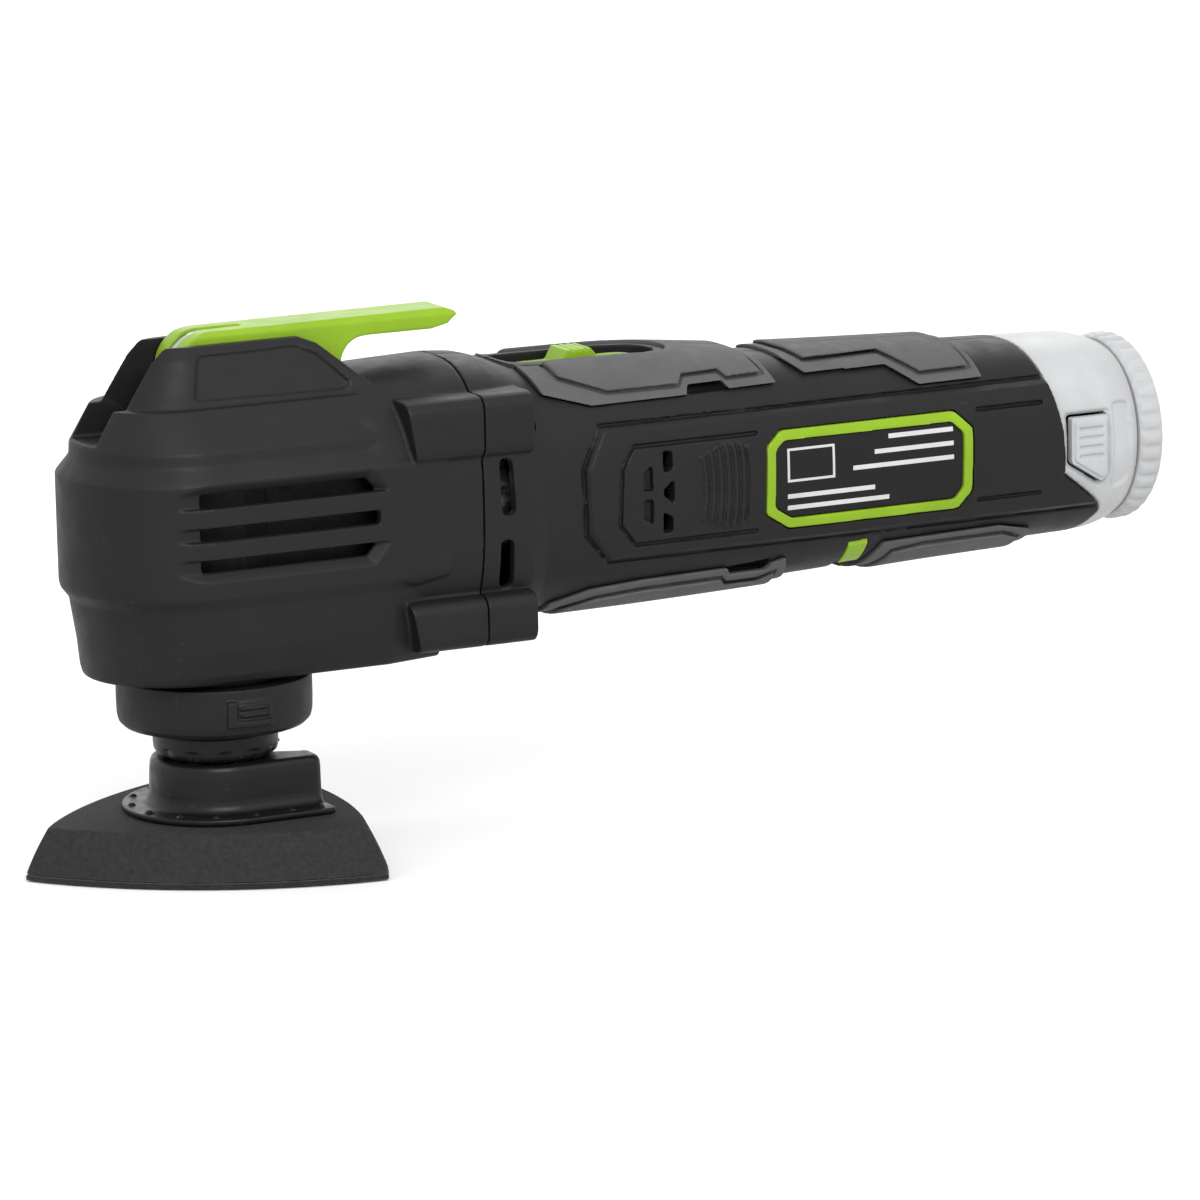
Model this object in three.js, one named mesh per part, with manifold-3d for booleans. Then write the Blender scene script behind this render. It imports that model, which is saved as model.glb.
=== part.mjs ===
// Cordless oscillating multi tool with a delta sanding pad and a stick battery pack.
// Units are millimetres. The origin is on the spindle axis, in the sole of the sanding pad.
// -X is the nose, +X the battery end, +Z up, and -Y the tool's left side, which carries the label.
import * as THREE from 'three';
import { mergeVertices } from 'three/addons/utils/BufferGeometryUtils.js';
import Module from 'manifold-3d';

const wasm = await Module();
wasm.setup();

// ---------------------------------------------------------------- driving dimensions
const GAP = 0.3;                  // clearance between pieces that touch
const WALL = 2.6;                 // moulded wall thickness
const MOTOR_Z = 80;               // height of the motor axis
const HEAD_REAR = 58.5;           // seam between the head and the handle
const HEAD_HALF = 27;             // half width of the head and of the handle flange
const HANDLE_FRONT = HEAD_REAR + GAP;
const FLANGE_REAR = 72;           // rear end of the thick front flange of the handle
const SEAM_Z = [48.8, 114.8];     // bottom and top of the section at the seam
const SHELL_SPLIT = 0.1;          // each handle shell stops this far from the middle plane
const RING_SIDES = 24;            // sides of the lofted sections
const FAR = 40;                   // half length of the slabs that cut right through the body

const PAD = { radius: 49.07, bulge: 11.6, topRadius: 43.5, topBulge: 7.3, top: 11.9, hook: 1.2 };
const BRACKET = { radius: 15.8, rear: 20.4, top: 24.9, flangeRadius: 24, flangeHalf: 22.8, flangeRear: 22.5,
  flangeTop: 13.6, wall: 1.5, slotHalf: 5 };
const FLANGE = { radius: 14.8, bottom: 26.2, seat: 25.2, seatRadius: 12.8, top: 31.5, hub: 12.4,
  hubTop: 35.8, pins: 8, pinCircle: 11.2, pinRadius: 1.2, pinReach: 1.4 };
const COLLAR = { radius: 22.96, inner: 17.5, bottom: 32.4, top: 44.4, keyTurn: 12 };
const SPINDLE = { radius: 7.2, bore: 4.6, bottom: 27.2, top: 93 };
const BOLT = { radius: 4, headRadius: 9, headTop: 23.1, headBottom: 20.2, top: 103.7 };
const THRUST = { bottom: 104, top: 107.4, radius: 9.5, half: 6.4 };

const FORK_REACH = 25;            // distance from the spindle axis to the eccentric bearing
const ECCENTRIC = 0.7;            // throw of the eccentric
const FORK_CLEARANCE = 1.75;      // each side of the bearing, where the closed linkage is opened
const BEARING = { outer: 8, inner: 3.2, width: 5 };   // on the eccentric
const SHAFT_RADIUS = 4;
const MOTOR = { radius: 18.7, bore: 17.2, front: 62, rear: 112, endCap: 119, tail: 122.5 };
const ARMATURE = { radius: 15.4, front: 68, rear: 102, commutator: 7, commutatorRear: 111, slots: 5 };
const FAN = { hub: 8, radius: 20, front: 47, rear: 57, disc: 1.4, blades: 9 };

const LOWER_BEARING = { outer: 14, inner: 7.5, width: 7, z: 37.5 };
const UPPER_BEARING = { outer: 12, inner: 7.5, width: 6, z: 86.6 };
const SHAFT_BEARING = { outer: 11, inner: SHAFT_RADIUS + GAP, width: 6.4, x: 36 };
const GEAR_CASE = { nose: 17.2, neck: 18.4, radius: 21, half: 20, rear: 42, bottom: 35, floor: 53, top: 94,
  wall: 3, cover: 3, spindleHole: 9 };

const LEVER = { half: 6.6, top: 126.4, under: 121.8, tip: 62.3, pinX: 0.4, pinZ: 115.5, pinRadius: 2 };
const CAM = { x: -0.86, z: 117, radius: 9.2 };
const CHANNEL = 7.2;              // half width of the channel between the cheeks
const CHEEK_TOP = 123.6;
const SPINDLE_SLOT = 9.2;         // radius of the opening through which the thrust plate is pressed

const SWITCH = { x0: 79.5, x1: 112, half: 5, bottom: 108.7, top: 109.9, humpTop: 113.2, humpX0: 90,
  humpX1: 102, humpHalf: 4.4 };
const DIAL = { x0: 158.9, x1: 164.1, radius: 18, z: 72.6 };
const BATTERY = { stickX: 167.4, capFront: 240.4, rear: 248.2, stickRadius: 21.2,
  capRadius: 23.4, z: 79.8 };
const CELL = { radius: 9.1, length: 65, x: 170, count: 3 };
const LATCH = { front: 219.6, rear: 230, top: 87.4, bottom: 71.4, face: 25.2, depth: 2.9, seat: 12 };

// ---------------------------------------------------------------- materials
function paint(hex, roughness, metalness = 0) {
  return new THREE.MeshStandardMaterial({ color: hex, roughness, metalness });
}
const BLACK = () => paint(0x2b2b2c, 0.6);
const GREEN = () => paint(0x8dbf2a, 0.45);
const GREY_RUBBER = () => paint(0x6c6d6e, 0.8);
const STEEL = () => paint(0x9a9ca0, 0.35, 0.9);
const DARK_STEEL = () => paint(0x3a3a3c, 0.5, 0.6);
const BATTERY_GREY = () => paint(0xd9dbdd, 0.5);

// ---------------------------------------------------------------- solids and booleans
function solidOf(geometry) {
  const bare = geometry.clone();
  bare.deleteAttribute('normal');
  bare.deleteAttribute('uv');
  const merged = mergeVertices(bare, 1e-4);
  const index = Array.from(merged.index.array);
  const faces = [];
  for (let i = 0; i < index.length; i += 3) {
    const [a, b, c] = index.slice(i, i + 3);
    if (a !== b && b !== c && c !== a) faces.push(a, b, c);
  }
  const positions = Float32Array.from(merged.attributes.position.array);
  const build = (list) => new wasm.Manifold(new wasm.Mesh({
    numProp: 3, vertProperties: positions, triVerts: Uint32Array.from(list),
  }));
  const solid = build(faces);
  if (solid.volume() >= 0) return solid;
  const flipped = [];
  for (let i = 0; i < faces.length; i += 3) flipped.push(faces[i], faces[i + 2], faces[i + 1]);
  return build(flipped);
}

function geometryOf(solid) {
  const mesh = solid.getMesh();
  const geometry = new THREE.BufferGeometry();
  geometry.setAttribute('position', new THREE.BufferAttribute(mesh.vertProperties, 3));
  geometry.setIndex(new THREE.BufferAttribute(mesh.triVerts, 1));
  const flat = geometry.toNonIndexed();
  flat.computeVertexNormals();
  return flat;
}

const join = (first, ...others) => others.reduce((sum, solid) => sum.add(solid), first);
const cut = (first, ...others) => others.reduce((rest, solid) => rest.subtract(solid), first);

function box(x0, x1, y0, y1, z0, z1) {
  const geometry = new THREE.BoxGeometry(x1 - x0, y1 - y0, z1 - z0);
  geometry.translate((x0 + x1) / 2, (y0 + y1) / 2, (z0 + z1) / 2);
  return solidOf(geometry);
}

function barX(radius, x0, x1, y = 0, z = MOTOR_Z, sides = 24) {
  const geometry = new THREE.CylinderGeometry(radius, radius, x1 - x0, sides);
  geometry.rotateZ(Math.PI / 2);
  geometry.translate((x0 + x1) / 2, y, z);
  return solidOf(geometry);
}

function barY(radius, y0, y1, x, z, sides = 16) {
  const geometry = new THREE.CylinderGeometry(radius, radius, y1 - y0, sides);
  geometry.translate(x, (y0 + y1) / 2, z);
  return solidOf(geometry);
}

function barZ(radius, z0, z1, x = 0, y = 0, sides = 24) {
  const geometry = new THREE.CylinderGeometry(radius, radius, z1 - z0, sides);
  geometry.rotateX(Math.PI / 2);
  geometry.translate(x, y, (z0 + z1) / 2);
  return solidOf(geometry);
}

const shapeOf = (points) => new THREE.Shape(points.map(([u, v]) => new THREE.Vector2(u, v)));

// An outline in X and Z, extruded from y0 to y1.
function slabY(outline, y0, y1) {
  const geometry = new THREE.ExtrudeGeometry(shapeOf(outline), { depth: y1 - y0, bevelEnabled: false });
  geometry.rotateX(Math.PI / 2);
  geometry.translate(0, y1, 0);
  return solidOf(geometry);
}

// An outline in X and Y, extruded from z0 to z1.
function slabZ(outline, z0, z1) {
  const geometry = new THREE.ExtrudeGeometry(shapeOf(outline), { depth: z1 - z0, bevelEnabled: false });
  geometry.translate(0, 0, z0);
  return solidOf(geometry);
}

// An outline in Y and Z, extruded from x0 to x1.
function slabX(outline, x0, x1) {
  const geometry = new THREE.ExtrudeGeometry(shapeOf(outline), { depth: x1 - x0, bevelEnabled: false });
  geometry.rotateX(Math.PI / 2);
  geometry.rotateZ(Math.PI / 2);
  geometry.translate(x0, 0, 0);
  return solidOf(geometry);
}

// A profile of [radius, z] points turned about a vertical axis.
function turned(profile, sides = 24) {
  const geometry = new THREE.LatheGeometry(profile.map(([r, z]) => new THREE.Vector2(r, z)), sides);
  geometry.rotateX(Math.PI / 2);
  return solidOf(geometry);
}

// A skin through equal rings of points: the side and caps of a cylinder, moved onto the rings.
function loft(rings) {
  const sides = rings[0].length;
  const rows = rings.length - 1;
  const geometry = new THREE.CylinderGeometry(1, 1, 1, sides, rows);
  const position = geometry.attributes.position;
  const centres = rings.map((ring) => ring.reduce((sum, p) => sum.add(p), new THREE.Vector3())
    .multiplyScalar(1 / sides));
  for (let i = 0; i < position.count; i++) {
    const row = Math.round((position.getY(i) + 0.5) * rows);
    const onRim = Math.hypot(position.getX(i), position.getZ(i)) > 0.5;
    const turn = Math.atan2(position.getX(i), position.getZ(i)) / (2 * Math.PI);
    const side = ((Math.round(turn * sides) % sides) + sides) % sides;
    const point = onRim ? rings[row][side] : centres[row];
    position.setXYZ(i, point.x, point.y, point.z);
  }
  return solidOf(geometry);
}

// ---------------------------------------------------------------- sections of the body
const mix = (a, b, t) => a + (b - a) * t;

// Ring of a rounded section at x: half width, bottom, top, and how square it is.
function sectionRing({ x, half, z0, z1, square }, grow) {
  const ring = [];
  for (let i = 0; i < RING_SIDES; i++) {
    const angle = (i + 0.5) / RING_SIDES * 2 * Math.PI;
    const c = Math.cos(angle);
    const s = Math.sin(angle);
    const y = Math.sign(c) * Math.abs(c) ** (2 / square) * (half + grow);
    const z = Math.sign(s) * Math.abs(s) ** (2 / square) * ((z1 - z0) / 2 + grow);
    ring.push(new THREE.Vector3(x, y, (z0 + z1) / 2 + z));
  }
  return ring;
}

function bodyLoft(stations, grow = 0) {
  return loft(stations.map((station) => sectionRing(station, grow)));
}

// Handle sections, from the front flange to the battery end.
const HANDLE = [
  { x: HANDLE_FRONT, half: HEAD_HALF, z0: SEAM_Z[0], z1: SEAM_Z[1], square: 2.7 },
  { x: 66, half: HEAD_HALF, z0: 48.9, z1: 114.2, square: 2.7 },
  { x: FLANGE_REAR, half: 26.6, z0: 49.4, z1: 112.4, square: 2.8 },
  { x: 76, half: 25.6, z0: 51.8, z1: 111.3, square: 2.9 },
  { x: 104, half: 25.4, z0: 52.2, z1: 111, square: 2.9 },
  { x: 146, half: 25, z0: 53.2, z1: 107.5, square: 2.8 },
  { x: 185, half: 24.6, z0: 54.5, z1: 105.8, square: 2.6 },
  { x: 232, half: 24, z0: 55.4, z1: 104.2, square: 2.4 },
];

// Rounded nose of the head seen from above: a half circle in front, straight sides to the rear.
function planRing({ z, nose, half, rear }) {
  const ring = [];
  const arcSides = RING_SIDES - 4;
  const centre = nose + half;
  for (let i = 0; i <= arcSides; i++) {
    const angle = Math.PI / 2 + i / arcSides * Math.PI;
    ring.push(new THREE.Vector3(centre + half * Math.cos(angle), half * Math.sin(angle), z));
  }
  for (const across of [0.1, 0.5, 0.9]) {
    ring.push(new THREE.Vector3(rear, mix(-half, half, across), z));
  }
  return ring;
}

const HEAD = [
  { z: 46, nose: -31, half: 21.6 },
  { z: 48.4, nose: -31.9, half: 23.8 },
  { z: 54.3, nose: -32.4, half: 25.4 },
  { z: 62.8, nose: -33.9, half: 26.3 },
  { z: 69, nose: -36.3, half: HEAD_HALF },
  { z: 92, nose: -36.4, half: HEAD_HALF },
  { z: 95, nose: -35.5, half: 26.5 },
  { z: 98, nose: -33.2, half: 25.6 },
  { z: 101, nose: -32.9, half: 25 },
  { z: 110, nose: -28.1, half: 17 },
].map((station) => ({ ...station, rear: HEAD_REAR - 12 }));

// The two cheeks beside the lever, drawn as one block before the channel is cut.
const CHEEKS = [
  { z: 108, nose: -26.4, half: 15.8 },
  { z: 121, nose: -18.9, half: 11 },
  { z: CHEEK_TOP, nose: -16.3, half: 10.2 },
].map((station) => ({ ...station, rear: 44 }));

const noseLoft = (stations) => loft(stations.map(planRing));

// Rear part of the head, where it swells into the section of the seam.
const HEAD_BACK = [
  { x: 2, half: 25.4, z0: 49, z1: 105, square: 2.6 },
  { x: 20, half: 26.4, z0: 49, z1: 109, square: 2.6 },
  { x: 33, half: HEAD_HALF, z0: SEAM_Z[0], z1: 113.8, square: 2.7 },
  { x: HEAD_REAR, half: HEAD_HALF, z0: SEAM_Z[0], z1: SEAM_Z[1], square: 2.7 },
];

// ---------------------------------------------------------------- bosses of the four head screws
const BOSSES = [
  { side: -1, z0: 95, z1: 108.6 }, { side: 1, z0: 95, z1: 108.6 },
  { side: -1, z0: 48.5, z1: 60.5 }, { side: 1, z0: 48.5, z1: 60.5 },
];
const BOSS_OUT = 28.4;            // outer face of the bosses
const BOSS_X = [41, 71.5];
const BOSS_CHAMFER = 2.5;
const SCREW_Y = 24.4;             // screws run along X inside the bosses

function bossBlock({ side, z0, z1 }, x0, x1) {
  const inner = side * 15;
  const outer = side * BOSS_OUT;
  const shoulder = side * (BOSS_OUT - BOSS_CHAMFER);
  const outline = [[inner, z0], [shoulder, z0], [outer, z0 + BOSS_CHAMFER], [outer, z1 - BOSS_CHAMFER],
    [shoulder, z1], [inner, z1]];
  return slabX(side > 0 ? outline : outline.reverse(), x0, x1);
}

const screwZ = (boss) => (boss.z0 + boss.z1) / 2;

const HEAD_SCREW = { radius: 1.6, hole: 1.9, front: 46, seat: 66.4, rear: 69.2, head: 3.1, well: 3.6 };
const SHELL_SCREW = { radius: 1.3, hole: 1.6, seat: 22.7, rear: 23.6, head: 2.7, well: 3.1 };
const SHELL_SCREWS = [[88, 61.8], [124, 94], [154, 64], [155, 98]];

// ---------------------------------------------------------------- head
// Vent slots of the head: height of the middle and half height.
const HEAD_VENTS = [[91, 2.2], [82.5, 1.6], [75, 2.2]];

function cheekBlock() {
  const side = [[-40, 100], [-40, 130], [19, 130], [20, CHEEK_TOP], [24, 122], [37, 111], [37, 100]];
  return noseLoft(CHEEKS).intersect(slabY(side, -FAR, FAR));
}

function headHollow() {
  const front = HEAD.slice(0, -1).map((station, i) => ({
    z: i === 0 ? station.z + WALL : station.z,
    nose: station.nose + WALL,
    half: station.half - WALL,
    rear: HEAD_REAR - 9,
  }));
  const back = HEAD_BACK.map((station) => ({
    ...station,
    x: station.x === HEAD_REAR ? HEAD_REAR + 1 : station.x,
  }));
  return noseLoft(front).add(bodyLoft(back, -WALL));
}

function headHousing() {
  const bosses = BOSSES.map((boss) => bossBlock(boss, BOSS_X[0], HEAD_REAR));
  let head = join(noseLoft(HEAD), bodyLoft(HEAD_BACK), cheekBlock(), ...bosses);
  head = head.intersect(box(-60, HEAD_REAR, -FAR, FAR, 40, 140));
  head = cut(head, headHollow());
  // Channel for the lever, open to the front and to the top, with a through slot to the spindle.
  head = cut(head, box(-60, 33, -CHANNEL, CHANNEL, 102, 140), box(-14, 32, -CHANNEL, CHANNEL, 95, 104));
  head = cut(head, barZ(SPINDLE_SLOT, 90, 104));
  // Mouth for the nose of the gear case.
  head = cut(head, barZ(COLLAR.inner + 0.2, 40, 50, 0, 0, 36));
  head = cut(head, barY(LEVER.pinRadius + GAP, -9.6, 9.6, LEVER.pinX, LEVER.pinZ));
  for (const [z, half] of HEAD_VENTS) {
    const slot = [[-13, z - half], [30, z - half], [32, z - half + 1.4], [30, z + half], [-13, z + half]];
    head = cut(head, slabY(slot, -FAR, -20), slabY(slot, 20, FAR));
  }
  for (const boss of BOSSES) {
    const y = boss.side * SCREW_Y;
    head = cut(head, barX(HEAD_SCREW.hole, HEAD_REAR - 14, HEAD_REAR + 1, y, screwZ(boss), 12));
  }
  return head;
}

function noseCollar() {
  const { radius, inner, bottom, top, keyTurn } = COLLAR;
  const ring = turned([[inner, bottom + 0.4], [radius - 3, bottom], [radius - 1, bottom + 0.8],
    [radius, bottom + 3], [radius + 0.2, top], [inner, top], [inner, bottom + 0.4]], 28);
  const post = box(-2, 2, -radius - 1.1, -radius + 1, 35.5, 42);
  const foot = box(-2, 8, -radius - 1.1, -radius + 1.4, 35.5, 37.5);
  return ring.add(post.add(foot).rotate([0, 0, keyTurn]));
}

// ---------------------------------------------------------------- handle
const GRIP_OUTLINES = {
  topFront: [[75.4, 113], [77.6, 107], [89.6, 102.6], [115, 102.8], [116, 105], [125.6, 105],
    [127, 103], [140.4, 103], [139.4, 106.4], [138, 113]],
  topRear: [[145.4, 112], [146.4, 107], [149.4, 104.2], [172.2, 104], [179, 99.2], [197, 99.2],
    [195.6, 112]],
  bottomFront: [[77.6, 44], [79.6, 55], [89.3, 58], [102.7, 59], [125.6, 59.4], [127, 57.6], [137, 57.6],
    [138, 59.4], [141.4, 60.4], [148, 44]],
  bottomRear: [[160, 44], [168.8, 61.3], [201.7, 61.9], [211.6, 59.7], [213, 44]],
};
const RECESS = 1;                 // depth of the seats of the grip pads and of the label
const PAD_PROUD = 0.9;            // how far the grip pads stand out

// Flat outline moved outward by a little, for the seat that a piece sits in.
function grown(outline, amount) {
  const turning = THREE.ShapeUtils.area(outline.map(([u, v]) => new THREE.Vector2(u, v))) > 0 ? 1 : -1;
  const normal = ([x0, z0], [x1, z1]) => {
    const length = Math.hypot(x1 - x0, z1 - z0);
    return [turning * (z1 - z0) / length, -turning * (x1 - x0) / length];
  };
  return outline.map((point, i) => {
    const before = outline[(i + outline.length - 1) % outline.length];
    const after = outline[(i + 1) % outline.length];
    const [ax, az] = normal(before, point);
    const [bx, bz] = normal(point, after);
    const scale = amount / (1 + ax * bx + az * bz);
    return [point[0] + (ax + bx) * scale, point[1] + (az + bz) * scale];
  });
}

function gripPad(outline, side) {
  const span = side < 0 ? [-FAR, -GAP / 2] : [GAP / 2, FAR];
  let pad = slabY(outline, ...span).intersect(bodyLoft(HANDLE, PAD_PROUD));
  pad = cut(pad, bodyLoft(HANDLE, -RECESS + GAP));
  if (outline === GRIP_OUTLINES.topFront) pad = cut(pad, switchPrism(GAP));
  return largest(pad);
}

function largest(solid) {
  const pieces = solid.decompose();
  return pieces.reduce((best, piece) => (piece.volume() > best.volume() ? piece : best));
}

const LABEL = [[134.4, 88.9], [138.3, 92.4], [186.5, 92.4], [191.3, 88], [191, 72.6], [187.4, 68.4],
  [140.4, 68.4], [134, 72.4]];
const LABEL_BORDER = 2.6;
const VENT_GROUP = { x0: 101.5, x1: 108.5, rows: [71.5, 76.5, 81.5, 86.5], height: 2.2 };
const FLANGE_VENTS = { x0: 63.6, x1: 66.6, rows: [[79.5, 92], [62.5, 73]] };
const MOTOR_RIBS = { x: [74, 104], thick: 2 };
const STOP_RIB = { x: 150, thick: 2 };

function capsule(x0, x1, half, steps = 8) {
  const outline = [];
  for (let i = 0; i <= steps; i++) {
    const angle = -Math.PI / 2 + i / steps * Math.PI;
    outline.push([x1 - half + half * Math.cos(angle), half * Math.sin(angle)]);
  }
  for (let i = 0; i <= steps; i++) {
    const angle = Math.PI / 2 + i / steps * Math.PI;
    outline.push([x0 + half + half * Math.cos(angle), half * Math.sin(angle)]);
  }
  return outline;
}

const switchPrism = (grow) => slabZ(capsule(71 - grow, 119 + grow, 10 + grow, 6), 96, 116);

// Side view of the handle shells: the rear edge is curved, with a tail below the battery latch.
function handleSide() {
  return [[HANDLE_FRONT, 40], [231, 40], [228.4, 60], [217.5, 69], [217.5, 78], [215.5, 92], [213, 104],
    [213, 120], [HANDLE_FRONT, 120]];
}

// The inside of the handle, longer than the shells at both ends.
function handleHollow() {
  const last = HANDLE.length - 1;
  const overrun = (i) => (i === last) - (i === 0);
  return bodyLoft(HANDLE.map((station, i) => ({ ...station, x: station.x + overrun(i) })), -WALL);
}

// Ribs that hold the motor, and the rib that stops the battery stick.
function innerRibs(hollow) {
  const ribs = MOTOR_RIBS.x.map((x) => {
    const rear = x + MOTOR_RIBS.thick;
    const plate = hollow.intersect(box(x, rear, -FAR, FAR, 0, 140));
    return cut(plate, barX(MOTOR.radius + GAP, x - 1, rear + 1), box(x - 1, rear + 1, -6, 6, 97, 120),
      box(x - 1, rear + 1, -12, 12, 30, 62));
  });
  const rear = STOP_RIB.x + STOP_RIB.thick;
  const stop = hollow.intersect(box(STOP_RIB.x, rear, -FAR, FAR, 0, 140));
  return [...ribs, cut(stop, box(STOP_RIB.x - 1, rear + 1, -16, 16, 62, 100))];
}

function handleVents(side) {
  const slot = ({ x0, x1 }, z0, z1) => box(x0, x1, side * 30 - 10, side * 30 + 10, z0, z1);
  const upright = FLANGE_VENTS.rows.map(([z0, z1]) => slot(FLANGE_VENTS, z0, z1));
  const group = VENT_GROUP.rows.map((z) => slot(VENT_GROUP, z, z + VENT_GROUP.height));
  return [...upright, ...group];
}

function screwHoles(side) {
  const holes = BOSSES.flatMap((boss) => {
    const y = boss.side * SCREW_Y;
    const z = screwZ(boss);
    return [barX(HEAD_SCREW.hole, HANDLE_FRONT - 1, BOSS_X[1] + 1, y, z, 12),
      barX(HEAD_SCREW.well, HEAD_SCREW.seat - 0.4, BOSS_X[1] + 2, y, z, 12)];
  });
  if (side < 0) return holes;
  const wells = SHELL_SCREWS.flatMap(([x, z]) => [barY(SHELL_SCREW.hole, 10, FAR, x, z, 10),
    barY(SHELL_SCREW.well, SHELL_SCREW.seat - GAP, FAR, x, z, 12)]);
  return [...holes, ...wells];
}

function handleShell(side) {
  const bosses = BOSSES.filter((boss) => boss.side === side)
    .map((boss) => bossBlock(boss, HANDLE_FRONT, BOSS_X[1]));
  let shell = join(bodyLoft(HANDLE), switchPrism(0).intersect(bodyLoft(HANDLE, 0.8)), ...bosses);
  shell = shell.intersect(slabY(handleSide(), -FAR, FAR));
  const hollow = handleHollow();
  shell = join(cut(shell, hollow), ...innerRibs(hollow));

  for (const outline of Object.values(GRIP_OUTLINES)) {
    const seat = cut(slabY(grown(outline, GAP), -FAR, FAR), bodyLoft(HANDLE, -RECESS));
    shell = cut(shell, outline === GRIP_OUTLINES.topFront ? cut(seat, switchPrism(0)) : seat);
  }
  if (side < 0) {
    shell = cut(shell, cut(slabY(grown(LABEL, GAP), -FAR, 0), bodyLoft(HANDLE, -RECESS)));
  }
  // Recess and slot of the slide switch.
  shell = cut(shell, slabZ(capsule(73.5, 116.5, 6.6, 6), 108.4, 120), box(83, 106, -2, 2, 100, 112));
  // Window of the speed dial.
  shell = cut(shell, box(DIAL.x0 - 0.8, DIAL.x1 + 0.8, -15.5, 15.5, 40, 64));
  shell = cut(shell, ...handleVents(side), ...screwHoles(side));
  const half = box(0, 260, SHELL_SPLIT, 60, 0, 200);
  return largest(shell.intersect(side < 0 ? half.mirror([0, 1, 0]) : half));
}

function labelRing() {
  const ring = cut(slabY(LABEL, -FAR, 0), slabY(grown(LABEL, -LABEL_BORDER), -FAR - 1, 1));
  return cut(ring.intersect(bodyLoft(HANDLE, 0.5)), bodyLoft(HANDLE, -RECESS + GAP));
}

function labelPlate() {
  const plate = slabY(grown(LABEL, -LABEL_BORDER - GAP), -FAR, 0);
  return cut(plate.intersect(bodyLoft(HANDLE, 0.1)), bodyLoft(HANDLE, -RECESS + GAP));
}

// ---------------------------------------------------------------- lever
function leverProfile() {
  const outline = [];
  for (let i = 0; i <= 12; i++) {
    const angle = -Math.PI / 2 - i / 12 * Math.PI;
    outline.push([CAM.x + CAM.radius * Math.cos(angle), CAM.z + CAM.radius * Math.sin(angle)]);
  }
  outline.push([59.4, LEVER.top + 0.2], [62.1, 125.5], [LEVER.tip, 124.6], [59.6, 122.7],
    [55.6, LEVER.under], [37.5, LEVER.under], [34, 120.6], [32.2, 118], [31.6, 113], [12, 111], [6, 110.4]);
  return outline;
}

function lever() {
  const { half, top, pinRadius, pinX, pinZ } = LEVER;
  const section = [[-half, 100], [half, 100], [half, top - 1.2], [half - 1.3, top + 0.3],
    [1.3 - half, top + 0.3], [-half, top - 1.2]];
  const body = slabY(leverProfile(), -9, 9).intersect(slabX(section, -30, 80));
  return cut(body, barY(pinRadius + GAP, -10, 10, pinX, pinZ), box(-30, 9, -1.3, 1.3, 100, 140));
}

function leverInsert() {
  const disc = barY(CAM.radius - 0.7, -0.95, 0.95, CAM.x, CAM.z, 28);
  const bar = box(CAM.x, 8.5, -0.95, 0.95, 113, CAM.z + CAM.radius - 0.9);
  return cut(disc.add(bar), barY(LEVER.pinRadius + GAP, -2, 2, LEVER.pinX, LEVER.pinZ));
}

// ---------------------------------------------------------------- slide switch
function switchSlider() {
  const { x0, x1, half, bottom, top, humpTop, humpX0, humpX1, humpHalf } = SWITCH;
  const plate = slabZ(capsule(x0, x1, half, 5), bottom, top);
  const side = [[humpX0, top - 0.5], [humpX0 + 2.4, humpTop], [humpX1 - 4, humpTop], [humpX1, top - 0.5]];
  const hump = slabY(side, -humpHalf, humpHalf);
  const stem = box(90, 99, -1.6, 1.6, 103.2, 109.5);
  const tongue = box(90, 132, -3, 3, 102.6, 104.2);
  return join(plate, hump, stem, tongue);
}

// ---------------------------------------------------------------- gear case and drive
function gearCase() {
  const { nose, neck, radius, half, rear, bottom, floor, top, wall, spindleHole } = GEAR_CASE;
  let body = barZ(nose, bottom, floor);
  body = join(body, barZ(neck, floor - 2, floor + 5), barZ(radius, floor + 3, top));
  body = body.add(box(0, rear, -half, half, floor + 7, top));
  body = cut(body, barZ(nose - 1.6, floor, floor + 6), barZ(radius - wall, floor + 5.5, top + 1));
  body = cut(body, box(0, rear - 8, -half + wall, half - wall, floor + 10, top + 1));
  const seatTop = LOWER_BEARING.z + LOWER_BEARING.width + GAP;
  body = cut(body, barZ(LOWER_BEARING.outer + GAP, bottom - 1, seatTop));
  body = cut(body, barZ(spindleHole, seatTop - 0.8, floor + 1));
  return cut(body, barX(9.4, rear - 12, SHAFT_BEARING.x),
    barX(SHAFT_BEARING.outer + GAP, SHAFT_BEARING.x - 1, rear + 1));
}

function gearCaseCover() {
  const { radius, half, rear, top, cover } = GEAR_CASE;
  const z0 = top + GAP;
  const plate = barZ(radius, z0, z0 + cover).add(box(0, rear, -half, half, z0, z0 + cover));
  const ring = barZ(UPPER_BEARING.outer + 3, top - 8, top + 1);
  const seat = barZ(UPPER_BEARING.outer + GAP, top - 9, top - 1);
  return cut(plate.add(ring), seat, barZ(9.4, top - 4, top + 6));
}

// A bearing drawn as one ring, from its base upwards.
function ballBearing({ outer, inner, width }) {
  return turned([[inner, 0], [outer, 0], [outer, width], [inner, width], [inner, 0]], 28);
}

function fork() {
  const inner = BEARING.outer + FORK_CLEARANCE;
  const hub = barZ(12, 74, 86);
  const arms = box(0, 31, -14.5, 14.5, 75, 85);
  return cut(hub.add(arms), box(11, 40, -inner, inner, 70, 90), barZ(SPINDLE.radius + GAP, 70, 90));
}

// The places of the locating pins, and of their holes in the bracket.
function pinPlaces() {
  return Array.from({ length: FLANGE.pins }, (_, i) => {
    const angle = (i + 0.5) / FLANGE.pins * 2 * Math.PI;
    return [FLANGE.pinCircle * Math.cos(angle), FLANGE.pinCircle * Math.sin(angle)];
  });
}

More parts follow.
